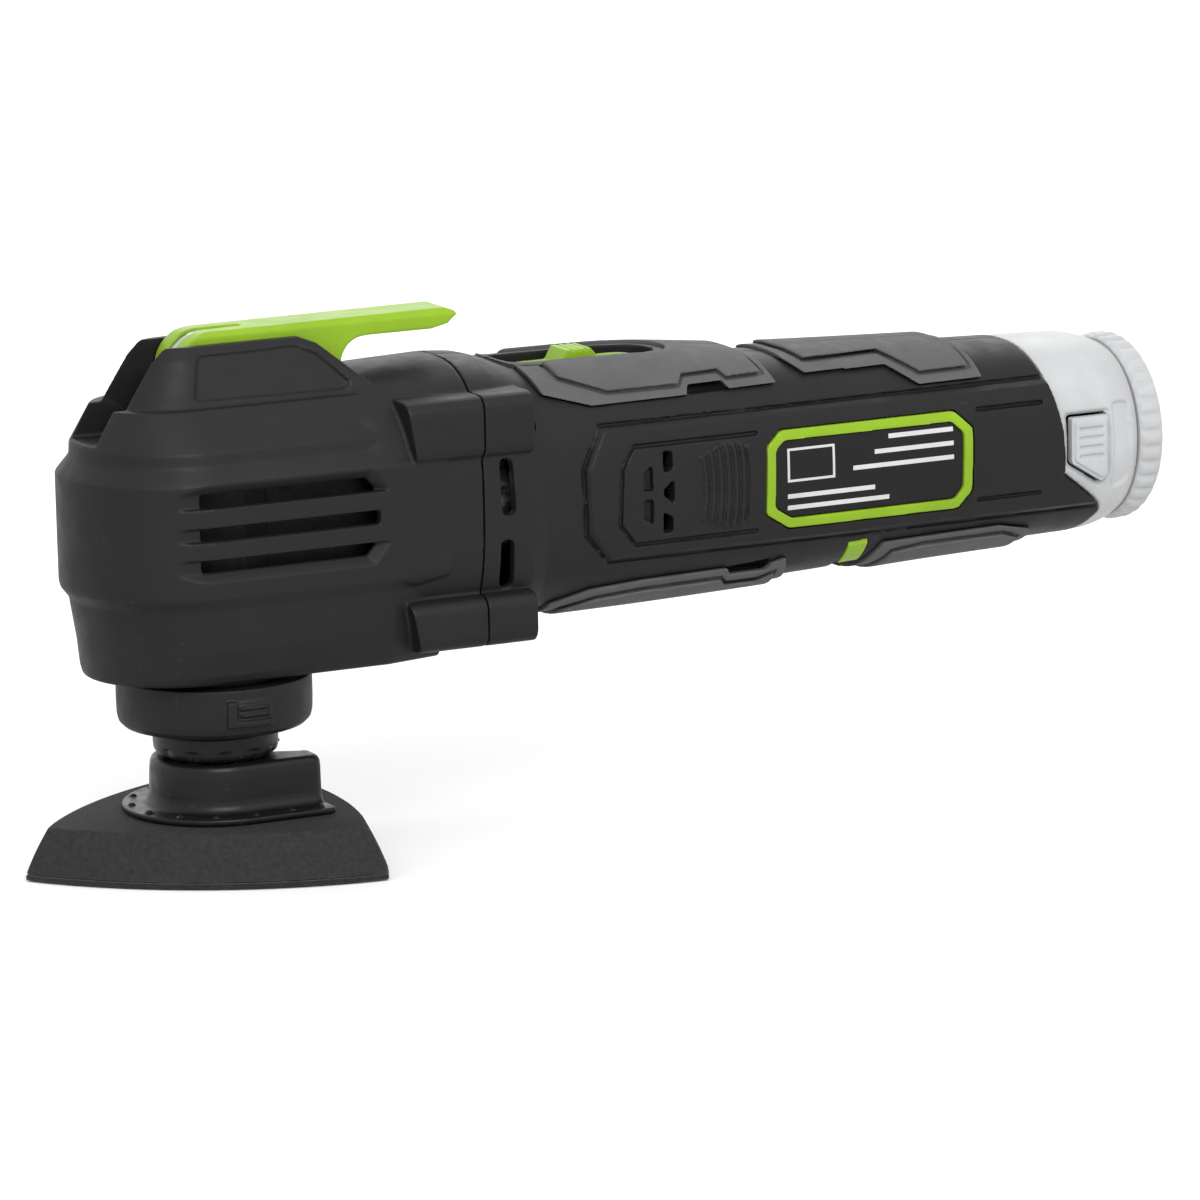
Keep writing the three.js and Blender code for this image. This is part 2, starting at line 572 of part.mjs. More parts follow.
function toolFlange() {
  const { radius, bottom, seat, seatRadius, top, hub, hubTop, pinRadius, pinReach } = FLANGE;
  const pins = pinPlaces().map(([x, y]) => barZ(pinRadius, seat - pinReach, bottom + 1, x, y, 6));
  const disc = barZ(radius, bottom, top, 0, 0, 28);
  const flange = join(disc, barZ(seatRadius, seat, top), barZ(hub, top - 1, hubTop), ...pins);
  return cut(flange, barZ(SPINDLE.radius + GAP, bottom + 1, 40), barZ(BOLT.radius + 0.6, 20, 30));
}

function clampBolt() {
  const { radius, headRadius, headTop, headBottom, top } = BOLT;
  return turned([[0, headBottom], [headRadius - 1, headBottom], [headRadius, headBottom + 1],
    [headRadius, headTop], [radius, headTop], [radius, top], [0, top]], 28);
}

// Stack of disc springs drawn as one pleated sleeve.
function clampSpring() {
  const outer = [];
  const inner = [];
  const folds = 4;
  const z0 = SPINDLE.top + GAP;
  const z1 = THRUST.bottom - GAP;
  for (let i = 0; i <= folds * 2; i++) {
    const z = mix(z0, z1, i / (folds * 2));
    const wide = i % 2 === 1;
    outer.push([wide ? 8.4 : 5.9, z]);
    inner.unshift([wide ? 7.2 : 4.7, z]);
  }
  return turned([...outer, ...inner, outer[0]], 16);
}

// A copy of the piece turned about the motor axis; the piece is drawn about the X axis.
const aboutMotor = (solid, degrees) => solid.rotate([degrees, 0, 0]).translate([0, 0, MOTOR_Z]);

function fan() {
  const { hub, radius, front, rear, disc, blades } = FAN;
  let wheel = barX(hub, front, rear).add(barX(radius, front, front + disc));
  const blade = box(front + 0.5, rear - 1, -0.7, 0.7, hub - 2, radius - 0.4);
  for (let i = 0; i < blades; i++) {
    wheel = wheel.add(aboutMotor(blade, i * 360 / blades));
  }
  return cut(wheel, barX(SHAFT_RADIUS + GAP, front - 7, rear + 3));
}

function motorCan() {
  const { radius, bore, front, rear } = MOTOR;
  return cut(barX(radius, front, rear), barX(bore, front + 2, rear + 1), barX(6.5, front - 1, front + 3));
}

function motorEndCap() {
  const { radius, rear, endCap, tail } = MOTOR;
  const cap = barX(radius, rear + GAP, endCap).add(barX(7, endCap - 1, tail));
  return cut(cap, barX(15.5, rear - 1, endCap - 2), barX(SHAFT_RADIUS + GAP, rear - 2, tail - 1.1));
}

function armature() {
  const { radius, front, rear, commutator, commutatorRear, slots } = ARMATURE;
  let core = barX(radius, front, rear).add(barX(commutator, rear - 1, commutatorRear));
  const slot = box(front - 2, rear + 1, -1, 1, 10, radius + 2.6);
  for (let i = 0; i < slots; i++) {
    core = cut(core, aboutMotor(slot, i * 360 / slots));
  }
  return cut(core, barX(SHAFT_RADIUS + GAP, front - 8, rear + 18));
}

function eccentric() {
  const face = FORK_REACH - BEARING.width / 2;
  const pin = barX(BEARING.inner - GAP, face - 1, 29, 0, MOTOR_Z + ECCENTRIC, 20);
  return cut(barX(7, 28, 34.6, 0, MOTOR_Z, 28).add(pin), barX(SHAFT_RADIUS + GAP, 30.7, 36));
}

// ---------------------------------------------------------------- sanding pad
function deltaRing(radius, bulge, z, steps = 10) {
  const chord = radius * Math.sqrt(3);
  const arc = (chord * chord / 4 + bulge * bulge) / (2 * bulge);
  const halfAngle = Math.asin(chord / 2 / arc);
  const ring = [];
  for (let side = 0; side < 3; side++) {
    const facing = Math.PI + Math.PI / 3 + side * 2 * Math.PI / 3;
    const centre = radius / 2 + bulge - arc;
    for (let i = 0; i < steps; i++) {
      const angle = facing + mix(-halfAngle, halfAngle, i / steps);
      ring.push(new THREE.Vector3(centre * Math.cos(facing) + arc * Math.cos(angle),
        centre * Math.sin(facing) + arc * Math.sin(angle), z));
    }
  }
  return ring;
}

function foamPad() {
  const sole = deltaRing(PAD.radius, PAD.bulge, PAD.hook + GAP);
  return loft([sole, deltaRing(PAD.topRadius, PAD.topBulge, PAD.top)]);
}

function hookLayer() {
  return loft([deltaRing(PAD.radius, PAD.bulge, 0), deltaRing(PAD.radius, PAD.bulge, PAD.hook)]);
}

// Plan of the bracket: a half round front, and sides that run straight to the rear.
function bracketPlan(radius, rear, half = radius) {
  const outline = [];
  for (let i = 0; i <= 16; i++) {
    const angle = Math.PI / 2 + i / 16 * Math.PI;
    outline.push([radius * Math.cos(angle), half * Math.sin(angle)]);
  }
  return [...outline, [rear, -half * 0.88], [rear, half * 0.88]];
}

function padBracket() {
  const { radius, rear, top, flangeRadius, flangeHalf, flangeRear, flangeTop, wall, slotHalf } = BRACKET;
  const z0 = PAD.top + GAP;
  const narrow = radius - 1.6;
  const shell = join(slabZ(bracketPlan(flangeRadius, flangeRear, flangeHalf), z0, flangeTop),
    slabZ(bracketPlan(radius, rear), z0, top - 2), slabZ(bracketPlan(narrow, rear), z0, top));
  const hollow = join(slabZ(bracketPlan(radius - wall, 30), 0, top - wall - 2),
    slabZ(bracketPlan(narrow - wall, 30), 0, top - wall));
  const slot = join(box(0, 40, -slotHalf, slotHalf, 20, 40), barZ(slotHalf, 20, 40));
  const holes = pinPlaces().map(([x, y]) => barZ(FLANGE.pinRadius + 0.4, 20, 40, x, y, 6));
  return largest(cut(shell, hollow, slot, ...holes));
}

// ---------------------------------------------------------------- battery
const BATTERY_BODY = [
  { x: 212, half: 24, z0: 55.2, z1: 104.7, square: 2.4 },
  { x: 231, half: 23.9, z0: 55.4, z1: 104.4, square: 2.3 },
  { x: 236, half: 23.2, z0: 56.4, z1: 103.2, square: 2.2 },
  { x: BATTERY.capFront - GAP, half: 21.6, z0: 58.2, z1: 101.4, square: 2.1 },
];

function cellPlace(i) {
  const angle = Math.PI / 2 + i * 2 * Math.PI / CELL.count;
  const circle = (CELL.radius + 0.2) / Math.sin(Math.PI / CELL.count);
  return { y: circle * Math.cos(angle), z: BATTERY.z + circle * Math.sin(angle) };
}

function latchBlock(dir, grow, depth) {
  const { front, rear, top, bottom, face } = LATCH;
  const outline = [[front - grow, top + grow], [rear + grow, top + grow], [rear + grow, bottom - grow],
    [rear - 3 + grow, bottom - 0.4 - grow], [front - grow, bottom + 4.8 - grow]];
  return slabY(outline, dir > 0 ? face - depth : -face, dir > 0 ? face : depth - face);
}

const latchButton = (dir) => latchBlock(dir, 0, LATCH.depth);

function batteryCase() {
  const { stickX, stickRadius, z } = BATTERY;
  const side = [[231.6, 40], [229, 60.6], [218.1, 69.4], [218.1, 78], [216.1, 92], [213.6, 104],
    [213.6, 120], [260, 120], [260, 40]];
  const base = bodyLoft(BATTERY_BODY).intersect(slabY(side, -FAR, FAR));
  let body = base.add(barX(stickRadius, stickX, 232, 0, z, 36));
  body = cut(body, barX(stickRadius - 1.2, stickX + 2, 238.4, 0, z, 36), barX(9, 230, 260, 0, z, 16));
  for (const dir of [-1, 1]) {
    const contact = box(stickX - 1, stickX + 3, dir * 8 - 2, dir * 8 + 2, 74, 86);
    body = cut(body, contact, latchBlock(dir, 0.4, LATCH.seat));
  }
  return largest(body);
}

function batteryEndCap() {
  const { capFront, rear, capRadius, z } = BATTERY;
  return barX(capRadius, capFront, rear - 1.2, 0, z, 36).add(barX(20, rear - 2, rear, 0, z, 36));
}

// ---------------------------------------------------------------- assembly
const tool = new THREE.Group();

function add(name, solid, material, place = [0, 0, 0]) {
  const mesh = new THREE.Mesh(geometryOf(solid), material);
  mesh.name = name;
  mesh.position.set(...place);
  tool.add(mesh);
  return mesh;
}

add('head_housing', headHousing(), BLACK());
add('nose_collar', noseCollar(), BLACK());
add('handle_shell_left', handleShell(-1), BLACK());
add('handle_shell_right', handleShell(1), BLACK());
for (const [name, outline] of Object.entries(GRIP_OUTLINES)) {
  const label = name.replace(/[A-Z]/g, (letter) => `_${letter.toLowerCase()}`);
  add(`grip_${label}_left`, gripPad(outline, -1), GREY_RUBBER());
  add(`grip_${label}_right`, gripPad(outline, 1), GREY_RUBBER());
}
add('label_border', labelRing(), GREEN());
add('label_plate', labelPlate(), paint(0x1c1c1d, 0.5));
BOSSES.forEach((boss, i) => {
  const { radius, front, seat, rear, head } = HEAD_SCREW;
  const screw = barX(radius, front, seat + 0.6, 0, 0, 10).add(barX(head, seat, rear, 0, 0, 12));
  add(`head_screw_${i + 1}`, screw, STEEL(), [0, boss.side * SCREW_Y, screwZ(boss)]);
});
SHELL_SCREWS.forEach(([x, z], i) => {
  const { radius, seat, rear, head } = SHELL_SCREW;
  const screw = barY(radius, 12, seat + GAP, 0, 0, 8).add(barY(head, seat, rear, 0, 0, 10));
  add(`shell_screw_${i + 1}`, screw, STEEL(), [x, 0, z]);
});

add('gear_case', gearCase(), paint(0x8b8d90, 0.55, 0.7));
add('gear_case_cover', gearCaseCover(), paint(0x8b8d90, 0.55, 0.7));
add('lower_bearing', ballBearing(LOWER_BEARING), STEEL(), [0, 0, LOWER_BEARING.z]);
add('upper_bearing', ballBearing(UPPER_BEARING), STEEL(), [0, 0, UPPER_BEARING.z]);
const shaftBearing = add('shaft_bearing', ballBearing(SHAFT_BEARING), STEEL(),
  [SHAFT_BEARING.x, 0, MOTOR_Z]);
shaftBearing.rotation.set(0, Math.PI / 2, 0);
add('motor_can', motorCan(), STEEL());
add('motor_end_cap', motorEndCap(), paint(0x202020, 0.5));
add('lever_pin', barY(LEVER.pinRadius, -9.3, 9.3, 0, 0), STEEL(), [LEVER.pinX, 0, LEVER.pinZ]);
add('switch_module', box(120, 140, -7, 7, 92, 102), paint(0x303336, 0.5));
add('control_board', box(122, 148, -14, 14, 59, 60.6), paint(0x2e6b3c, 0.5));
const potentiometer = box(152.6, 156.2, -5, 5, 67, 78).add(barX(2, 155, 162, 0, DIAL.z, 12));
add('dial_potentiometer', potentiometer, paint(0x30343a, 0.5));
add('terminal_block', box(153, 157, -15, 15, 81, 92), paint(0x26282b, 0.5));

add('motor_shaft', barX(SHAFT_RADIUS, 31, 121, 0, 0, 24), STEEL(), [0, 0, MOTOR_Z]);
add('armature', armature(), paint(0x8a5a3a, 0.5, 0.4));
add('fan', fan(), BLACK());
add('eccentric', eccentric(), STEEL());
const eccentricBearing = add('eccentric_bearing', ballBearing(BEARING), STEEL(),
  [FORK_REACH - BEARING.width / 2, 0, MOTOR_Z + ECCENTRIC]);
eccentricBearing.rotation.set(0, Math.PI / 2, 0);

const spindle = cut(barZ(SPINDLE.radius, SPINDLE.bottom + GAP, SPINDLE.top), barZ(SPINDLE.bore, 20, 100));
add('spindle', spindle, STEEL());
add('fork', fork(), STEEL());
add('tool_flange', toolFlange(), DARK_STEEL());
add('pad_bracket', padBracket(), DARK_STEEL());
add('foam_pad', foamPad(), paint(0x343434, 0.9));
add('hook_layer', hookLayer(), paint(0x2a2a2a, 0.95));

add('clamp_bolt', clampBolt(), STEEL());
const thrustDisc = barZ(THRUST.radius, THRUST.bottom, THRUST.top);
add('thrust_plate', thrustDisc.intersect(box(-20, 20, -THRUST.half, THRUST.half, 0, 200)), STEEL());
add('clamp_spring', clampSpring(), STEEL());

add('lever', lever(), GREEN());
add('lever_insert', leverInsert(), STEEL());
add('switch_slider', switchSlider(), GREEN());
const dialWheel = barX(DIAL.radius, DIAL.x0, DIAL.x1, 0, DIAL.z, 40);
add('speed_dial', cut(dialWheel, barX(2 + GAP, 150, 170, 0, DIAL.z, 12)), GREEN());

add('battery_case', batteryCase(), BATTERY_GREY());
add('battery_end_cap', batteryEndCap(), BATTERY_GREY());
for (let i = 0; i < CELL.count; i++) {
  const { y, z } = cellPlace(i);
  const cell = barX(CELL.radius, 0, CELL.length, 0, 0);
  add(`battery_cell_${i + 1}`, cell, paint(0x3f6fa5, 0.4), [CELL.x, y, z]);
}
add('battery_board', box(235.6, 237.2, -12, 12, 70, 90), paint(0x2e6b3c, 0.5));
add('latch_button_left', latchButton(-1), BATTERY_GREY());
add('latch_button_right', latchButton(1), BATTERY_GREY());

export default tool;
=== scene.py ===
"""Looks of a cordless oscillating multi tool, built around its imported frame.

Shapes are worked out in millimetres in the frame's own axes (-X nose, +X battery end, +Z up, -Y the
side with the label), and are turned into metres when a piece is finished.
"""
import math

import bmesh
import bpy
from mathutils import Matrix, Vector


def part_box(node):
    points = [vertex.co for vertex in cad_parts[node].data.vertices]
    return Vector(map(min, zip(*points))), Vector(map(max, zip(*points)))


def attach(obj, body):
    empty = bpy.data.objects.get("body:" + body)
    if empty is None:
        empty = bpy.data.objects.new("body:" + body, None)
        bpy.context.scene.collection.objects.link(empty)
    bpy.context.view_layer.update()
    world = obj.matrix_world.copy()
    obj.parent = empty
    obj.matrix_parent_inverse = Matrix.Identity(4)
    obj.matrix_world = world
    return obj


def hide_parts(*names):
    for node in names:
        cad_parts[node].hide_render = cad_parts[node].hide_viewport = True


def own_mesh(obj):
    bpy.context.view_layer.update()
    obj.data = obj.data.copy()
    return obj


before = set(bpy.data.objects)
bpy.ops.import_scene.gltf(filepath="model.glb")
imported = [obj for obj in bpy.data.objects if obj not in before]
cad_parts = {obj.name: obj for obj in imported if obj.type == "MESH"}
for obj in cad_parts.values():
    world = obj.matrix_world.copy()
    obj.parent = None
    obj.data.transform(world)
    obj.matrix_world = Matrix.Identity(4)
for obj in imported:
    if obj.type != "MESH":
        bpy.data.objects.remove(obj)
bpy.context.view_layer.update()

MM = 0.001


def box_mm(node):
    """Lowest and highest corner of a CAD node, in millimetres."""
    low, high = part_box(node)
    return low / MM, high / MM


# ---- driving dimensions, from the frame
HEAD_LOW, HEAD_HIGH = box_mm("head_housing")
SEAM_X = HEAD_HIGH.x              # joint face between the head and the handle
HANDLE_X = box_mm("handle_shell_left")[0].x    # front face of the handle shells
NOSE_X = HEAD_LOW.x               # foremost point of the head
CHEEK_TOP = HEAD_HIGH.z           # top of the two cheeks beside the lever
LEVER_TOP = box_mm("lever")[1].z
PIN_LOW, PIN_HIGH = box_mm("lever_pin")
PIN_X = (PIN_LOW.x + PIN_HIGH.x) / 2
PIN_Z = (PIN_LOW.z + PIN_HIGH.z) / 2
DIAL_LOW, DIAL_HIGH = box_mm("speed_dial")
DIAL_Z = (DIAL_LOW.z + DIAL_HIGH.z) / 2
COLLAR_LOW, COLLAR_HIGH = box_mm("nose_collar")
PAD_TOP = box_mm("foam_pad")[1].z
BRACKET_TOP = box_mm("pad_bracket")[1].z
CAP_LOW, CAP_HIGH = box_mm("battery_end_cap")
STICK_Z = (CAP_LOW.z + CAP_HIGH.z) / 2

WALL = 2.6                        # moulded wall thickness
GAP = 0.3                         # clearance between pieces that touch
SPLIT = 0.1                       # each handle shell stops this far from the middle plane
VOXEL = 0.38                      # grain of the moulded pieces' meshes
PAD_STEP = 0.9                    # height of the raised field on a grip pad
PANEL_RISE = 1.2                  # height of the raised side panel
CHANNEL = 7.2                     # half width of the channel between the cheeks
PIN_BORE = 2.3                    # radius of the hole for the lever pin


# ---- meshes
def new_piece(verts, faces):
    mesh = bpy.data.meshes.new("piece")
    mesh.from_pydata([tuple(v) for v in verts], [], faces)
    shape = bmesh.new()
    shape.from_mesh(mesh)
    bmesh.ops.recalc_face_normals(shape, faces=shape.faces)
    shape.to_mesh(mesh)
    shape.free()
    piece = bpy.data.objects.new("piece", mesh)
    bpy.context.scene.collection.objects.link(piece)
    return piece


def loft(rings):
    """A skin through equal closed rings, with a flat cap at each end."""
    sides = len(rings[0])
    verts = [point for ring in rings for point in ring]
    faces = []
    for row in range(len(rings) - 1):
        a = row * sides
        for i in range(sides):
            j = (i + 1) % sides
            faces.append((a + i, a + j, a + sides + j, a + sides + i))
    faces.append(tuple(range(sides)))
    faces.append(tuple(range(len(verts) - sides, len(verts))))
    return new_piece(verts, faces)


def prism_y(outline, y0, y1):
    """An outline in X and Z, extruded along Y."""
    return loft([[(x, y, z) for x, z in outline] for y in (y0, y1)])


def prism_z(outline, z0, z1):
    """An outline in X and Y, extruded along Z."""
    return loft([[(x, y, z) for x, y in outline] for z in (z0, z1)])


def prism_x(outline, x0, x1):
    """An outline in Y and Z, extruded along X."""
    return loft([[(x, y, z) for y, z in outline] for x in (x0, x1)])


def block(x0, x1, y0, y1, z0, z1):
    return prism_z([(x0, y0), (x1, y0), (x1, y1), (x0, y1)], z0, z1)


def circle(radius, sides, u=0.0, v=0.0):
    turns = [2 * math.pi * i / sides for i in range(sides)]
    return [(u + radius * math.cos(t), v + radius * math.sin(t)) for t in turns]


def arc(radius, start, turn, steps, u=0.0, v=0.0):
    """Points of an arc from the angle start, onward by turn."""
    angles = [start + i / steps * turn for i in range(steps + 1)]
    return [(u + radius * math.cos(a), v + radius * math.sin(a)) for a in angles]


def on_side(outline, side, inner=2.0, outer=45.0):
    """An outline in X and Z, extruded sideways on one side of the middle plane."""
    return prism_y(outline, *sorted((side * inner, side * outer)))


def side_name(side):
    return "left" if side < 0 else "right"


def turned_z(profile, sides=96, x=0.0, y=0.0):
    """Rings of [radius, z] about a vertical axis."""
    return loft([[(u, v, z) for u, v in circle(r, sides, x, y)] for r, z in profile])


def turned_x(profile, sides=96, y=0.0, z=0.0):
    """Rings of [radius, x] about an axis along X."""
    return loft([[(x, u, v) for u, v in circle(r, sides, y, z)] for r, x in profile])


def turned_y(profile, sides=48, x=0.0, z=0.0):
    """Rings of [radius, y] about an axis along Y."""
    return loft([[(u, y, v) for u, v in circle(r, sides, x, z)] for r, y in profile])


def apply_modifiers(piece):
    graph = bpy.context.evaluated_depsgraph_get()
    mesh = bpy.data.meshes.new_from_object(piece.evaluated_get(graph))
    old = piece.data
    piece.modifiers.clear()
    piece.data = mesh
    bpy.data.meshes.remove(old)
    return piece


def boolean(piece, others, operation):
    for other in others:
        step = piece.modifiers.new("boolean", "BOOLEAN")
        step.operation = operation
        step.solver = "MANIFOLD"
        step.object = other
    apply_modifiers(piece)
    for other in others:
        bpy.data.objects.remove(other)
    return piece


def cut(piece, *others):
    return boolean(piece, others, "DIFFERENCE")


def join(piece, *others):
    return boolean(piece, others, "UNION")


def common(piece, *others):
    return boolean(piece, others, "INTERSECT")


def moulded(piece, voxel=VOXEL, rounds=2, keep=0.5):
    """Turns a cut solid into one even skin with small soft edges, as a moulding has."""
    remesh = piece.modifiers.new("skin", "REMESH")
    remesh.mode = "VOXEL"
    remesh.voxel_size = voxel
    smooth = piece.modifiers.new("soft", "SMOOTH")
    smooth.factor = 0.5
    smooth.iterations = rounds
    thin = piece.modifiers.new("thin", "DECIMATE")
    thin.ratio = keep
    return apply_modifiers(piece)


def bevelled(piece, width, segments=2, angle=30):
    bevel = piece.modifiers.new("bevel", "BEVEL")
    bevel.width = width
    bevel.segments = segments
    bevel.limit_method = "ANGLE"
    bevel.angle_limit = math.radians(angle)
    bevel.harden_normals = False
    return apply_modifiers(piece)


def finished(piece, name, body, look, nodes=(), sharp=35):
    """Turns the piece into metres, shades it, and ties it to its body and CAD nodes."""
    piece.name = name
    piece.data.name = name
    piece.data.transform(Matrix.Scale(MM, 4))
    piece.data.shade_smooth()
    piece.data.set_sharp_from_angle(angle=math.radians(sharp))
    piece.data.materials.clear()
    piece.data.materials.append(MATERIALS[look])
    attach(piece, body)
    if nodes:
        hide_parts(*nodes)
    return piece


# ---- materials
def lerp(a, b, t):
    return a + (b - a) * t


EDGE_BAND = (0.53, 0.62)          # pointiness from which an edge starts to lighten, and is fully lightened


class Surface:
    """A procedural material: a base colour with mottle, lighter edges (worn edges, and on the foam a painted
    highlight), and a fine grain.
    """

    def __init__(self, name, colour, roughness, metallic=0.0, specular=0.16):
        self.material = bpy.data.materials.new(name)
        self.material.use_nodes = True
        self.tree = self.material.node_tree
        self.shader = self.tree.nodes["Principled BSDF"]
        self.shader.inputs["Base Color"].default_value = (*colour, 1)
        self.shader.inputs["Roughness"].default_value = roughness
        self.shader.inputs["Metallic"].default_value = metallic
        self.shader.inputs["Specular IOR Level"].default_value = specular
        self.colour = colour
        self.roughness = roughness
        self.height = None
        place = self.tree.nodes.new("ShaderNodeTexCoord")
        self.place = place.outputs["Object"]

    def link(self, source, target):
        self.tree.links.new(source, target)

    def noise(self, size_mm, detail=3.0, stretch=(1, 1, 1)):
        """Noise whose features are about size_mm across."""
        vector = self.place
        if stretch != (1, 1, 1):
            mapping = self.tree.nodes.new("ShaderNodeMapping")
            mapping.inputs["Scale"].default_value = stretch
            self.link(self.place, mapping.inputs["Vector"])
            vector = mapping.outputs["Vector"]
        node = self.tree.nodes.new("ShaderNodeTexNoise")
        node.inputs["Scale"].default_value = 1 / (size_mm * MM)
        node.inputs["Detail"].default_value = detail
        self.link(vector, node.inputs["Vector"])
        return node.outputs["Fac"]

    def cells(self, size_mm):
        node = self.tree.nodes.new("ShaderNodeTexVoronoi")
        node.inputs["Scale"].default_value = 1 / (size_mm * MM)
        self.link(self.place, node.inputs["Vector"])
        return node.outputs["Distance"]

    def spread(self, source, low, high, at=(0.3, 0.7)):
        node = self.tree.nodes.new("ShaderNodeMapRange")
        node.inputs["From Min"].default_value = at[0]
        node.inputs["From Max"].default_value = at[1]
        node.inputs["To Min"].default_value = low
        node.inputs["To Max"].default_value = high
        self.link(source, node.inputs["Value"])
        return node.outputs["Result"]

    def blend(self, factor, first, second):
        node = self.tree.nodes.new("ShaderNodeMix")
        node.data_type = "RGBA"
        self.link(factor, node.inputs["Factor"])
        for socket, value in ((node.inputs[6], first), (node.inputs[7], second)):
            if isinstance(value, tuple):
                socket.default_value = (*value, 1)
            else:
                self.link(value, socket)
        return node.outputs[2]

    def mottle(self, size_mm, amount):
        dark = tuple(c * (1 - amount) for c in self.colour)
        light = tuple(min(1.0, c * (1 + amount)) for c in self.colour)
        self.paint = self.blend(self.spread(self.noise(size_mm), 0, 1), dark, light)
        self.link(self.paint, self.shader.inputs["Base Color"])
        return self

    def edge_wear_and_highlight(self, colour, strength):
        """Lighter edges, broken up by noise: worn edges, and on the foam also a painted highlight along its crisp
        top edge.
        """
        geometry = self.tree.nodes.new("ShaderNodeNewGeometry")
        edge = self.spread(geometry.outputs["Pointiness"], 0, strength, EDGE_BAND)
        broken = self.tree.nodes.new("ShaderNodeMath")
        broken.operation = "MULTIPLY"
        self.link(edge, broken.inputs[0])
        self.link(self.spread(self.noise(3.0), 0.25, 1), broken.inputs[1])
        self.paint = self.blend(broken.outputs[0], self.paint, colour)
        self.link(self.paint, self.shader.inputs["Base Color"])
        return self

    def uneven(self, size_mm, amount):
        """Roughness that changes over the surface."""
        low = max(0.05, self.roughness - amount)
        high = min(1.0, self.roughness + amount)
        self.link(self.spread(self.noise(size_mm), low, high), self.shader.inputs["Roughness"])
        return self

    def grain(self, size_mm, depth_mm, source=None):
        """Raised grain of the given size and depth."""
        node = self.tree.nodes.new("ShaderNodeBump")
        node.inputs["Distance"].default_value = depth_mm * MM
        node.inputs["Strength"].default_value = 1.0
        self.link(source or self.noise(size_mm, 2.0), node.inputs["Height"])
        if self.height:
            self.link(self.height, node.inputs["Normal"])
        self.height = node.outputs["Normal"]
        self.link(self.height, self.shader.inputs["Normal"])
        return self


def plastic(name, colour, roughness, worn, edge_wear_and_highlight=0.45):
    """Spark-textured moulded plastic."""
    surface = Surface(name, colour, roughness).mottle(14, 0.08).edge_wear_and_highlight(worn, strength=edge_wear_and_highlight)
    return surface.uneven(6, 0.06).grain(0.55, 0.035).material


def metal(name, colour, roughness, stretch=(1, 1, 1)):
    surface = Surface(name, colour, roughness, 1.0).mottle(5, 0.12).uneven(1.6, 0.1)
    return surface.grain(0.4, 0.01, surface.noise(0.5, 2.0, stretch)).material


def make_materials():
    made = {
        "black": plastic("black_plastic", (0.0066, 0.0067, 0.007), 0.52, (0.022, 0.0225, 0.024), 0.35),
        "inner_black": plastic("inner_black", (0.011, 0.011, 0.0115), 0.6, (0.025, 0.025, 0.025), 0.2),
        "green": plastic("lever_green", (0.155, 0.262, 0.010), 0.40, (0.28, 0.42, 0.07), 0.3),
        "label": plastic("label_face", (0.005, 0.005, 0.0054), 0.42, (0.02, 0.02, 0.02), 0.1),
        "module": plastic("module_plastic", (0.02, 0.022, 0.025), 0.5, (0.05, 0.05, 0.05)),
        "battery": plastic("battery_plastic", (0.315, 0.318, 0.322), 0.42, (0.39, 0.39, 0.39), 0.3),
        "cell": plastic("cell_wrap", (0.03, 0.10, 0.24), 0.35, (0.08, 0.16, 0.3), 0.1),
        "print": plastic("label_print", (0.38, 0.38, 0.385), 0.45, (0.42, 0.42, 0.42), 0.0),
        "steel": metal("bright_steel", (0.36, 0.365, 0.375), 0.32),
        "turned_steel": metal("turned_steel", (0.30, 0.305, 0.315), 0.36, (1, 1, 14)),
        "zinc": metal("zinc_screw", (0.27, 0.27, 0.275), 0.38),
        # Near black so that the gear case seen through the head's vents reads dark: painted shade inside the head.
        "die_cast": metal("die_cast", (0.017, 0.0172, 0.018), 0.55),
        "copper": metal("copper_winding", (0.32, 0.135, 0.055), 0.35, (14, 1, 1)),
    }
    rubber = Surface("grip_rubber", (0.062, 0.0625, 0.064), 0.75).mottle(9, 0.07)
    rubber.edge_wear_and_highlight((0.13, 0.13, 0.133), strength=0.4).uneven(4, 0.08)
    made["rubber"] = rubber.grain(0.45, 0.03, rubber.cells(0.6)).grain(0.3, 0.02).material
    paint = Surface("painted_steel", (0.0038, 0.004, 0.0044), 0.4).mottle(8, 0.1)
    paint.edge_wear_and_highlight((0.05, 0.05, 0.055), strength=0.5).uneven(3, 0.09)
    paint.shader.inputs["Coat Weight"].default_value = 0.05
    paint.shader.inputs["Coat Roughness"].default_value = 0.3
    made["painted"] = paint.grain(1.1, 0.03).grain(0.3, 0.008).material
    foam = Surface("pad_foam", (0.0175, 0.0175, 0.018), 0.92, specular=0.15).mottle(1.1, 0.2)
    # The foam's strong edge lightening is partly worn edges and partly a painted highlight along its crisp top
    # edge.
    foam.edge_wear_and_highlight((0.085, 0.085, 0.085), strength=0.9).grain(1.0, 0.07, foam.cells(0.7))
    made["foam"] = foam.grain(0.4, 0.08).material
    hook = Surface("hook_felt", (0.011, 0.011, 0.0115), 0.95, specular=0.15).mottle(1.2, 0.35)
    hook.shader.inputs["Sheen Weight"].default_value = 0.2
    made["hook"] = hook.grain(0.5, 0.12, hook.cells(0.7)).material
    board = Surface("circuit_board", (0.02, 0.10, 0.045), 0.35).mottle(3, 0.15)
    made["board"] = board.grain(0.8, 0.02).material
    return made


MATERIALS = make_materials()


# ---- sections of the body
def ring_of(station, grow, sides):
    """Rounded section at x: half width, bottom, top, and how square it is."""
    x, half, low, high, square = station
    ring = []
    for i in range(sides):
        angle = (i + 0.5) / sides * 2 * math.pi
        c = math.cos(angle)
        s = math.sin(angle)
        y = math.copysign(abs(c) ** (2 / square), c) * (half + grow)
        z = math.copysign(abs(s) ** (2 / square), s) * ((high - low) / 2 + grow)
        ring.append((x, y, (low + high) / 2 + z))
    return ring


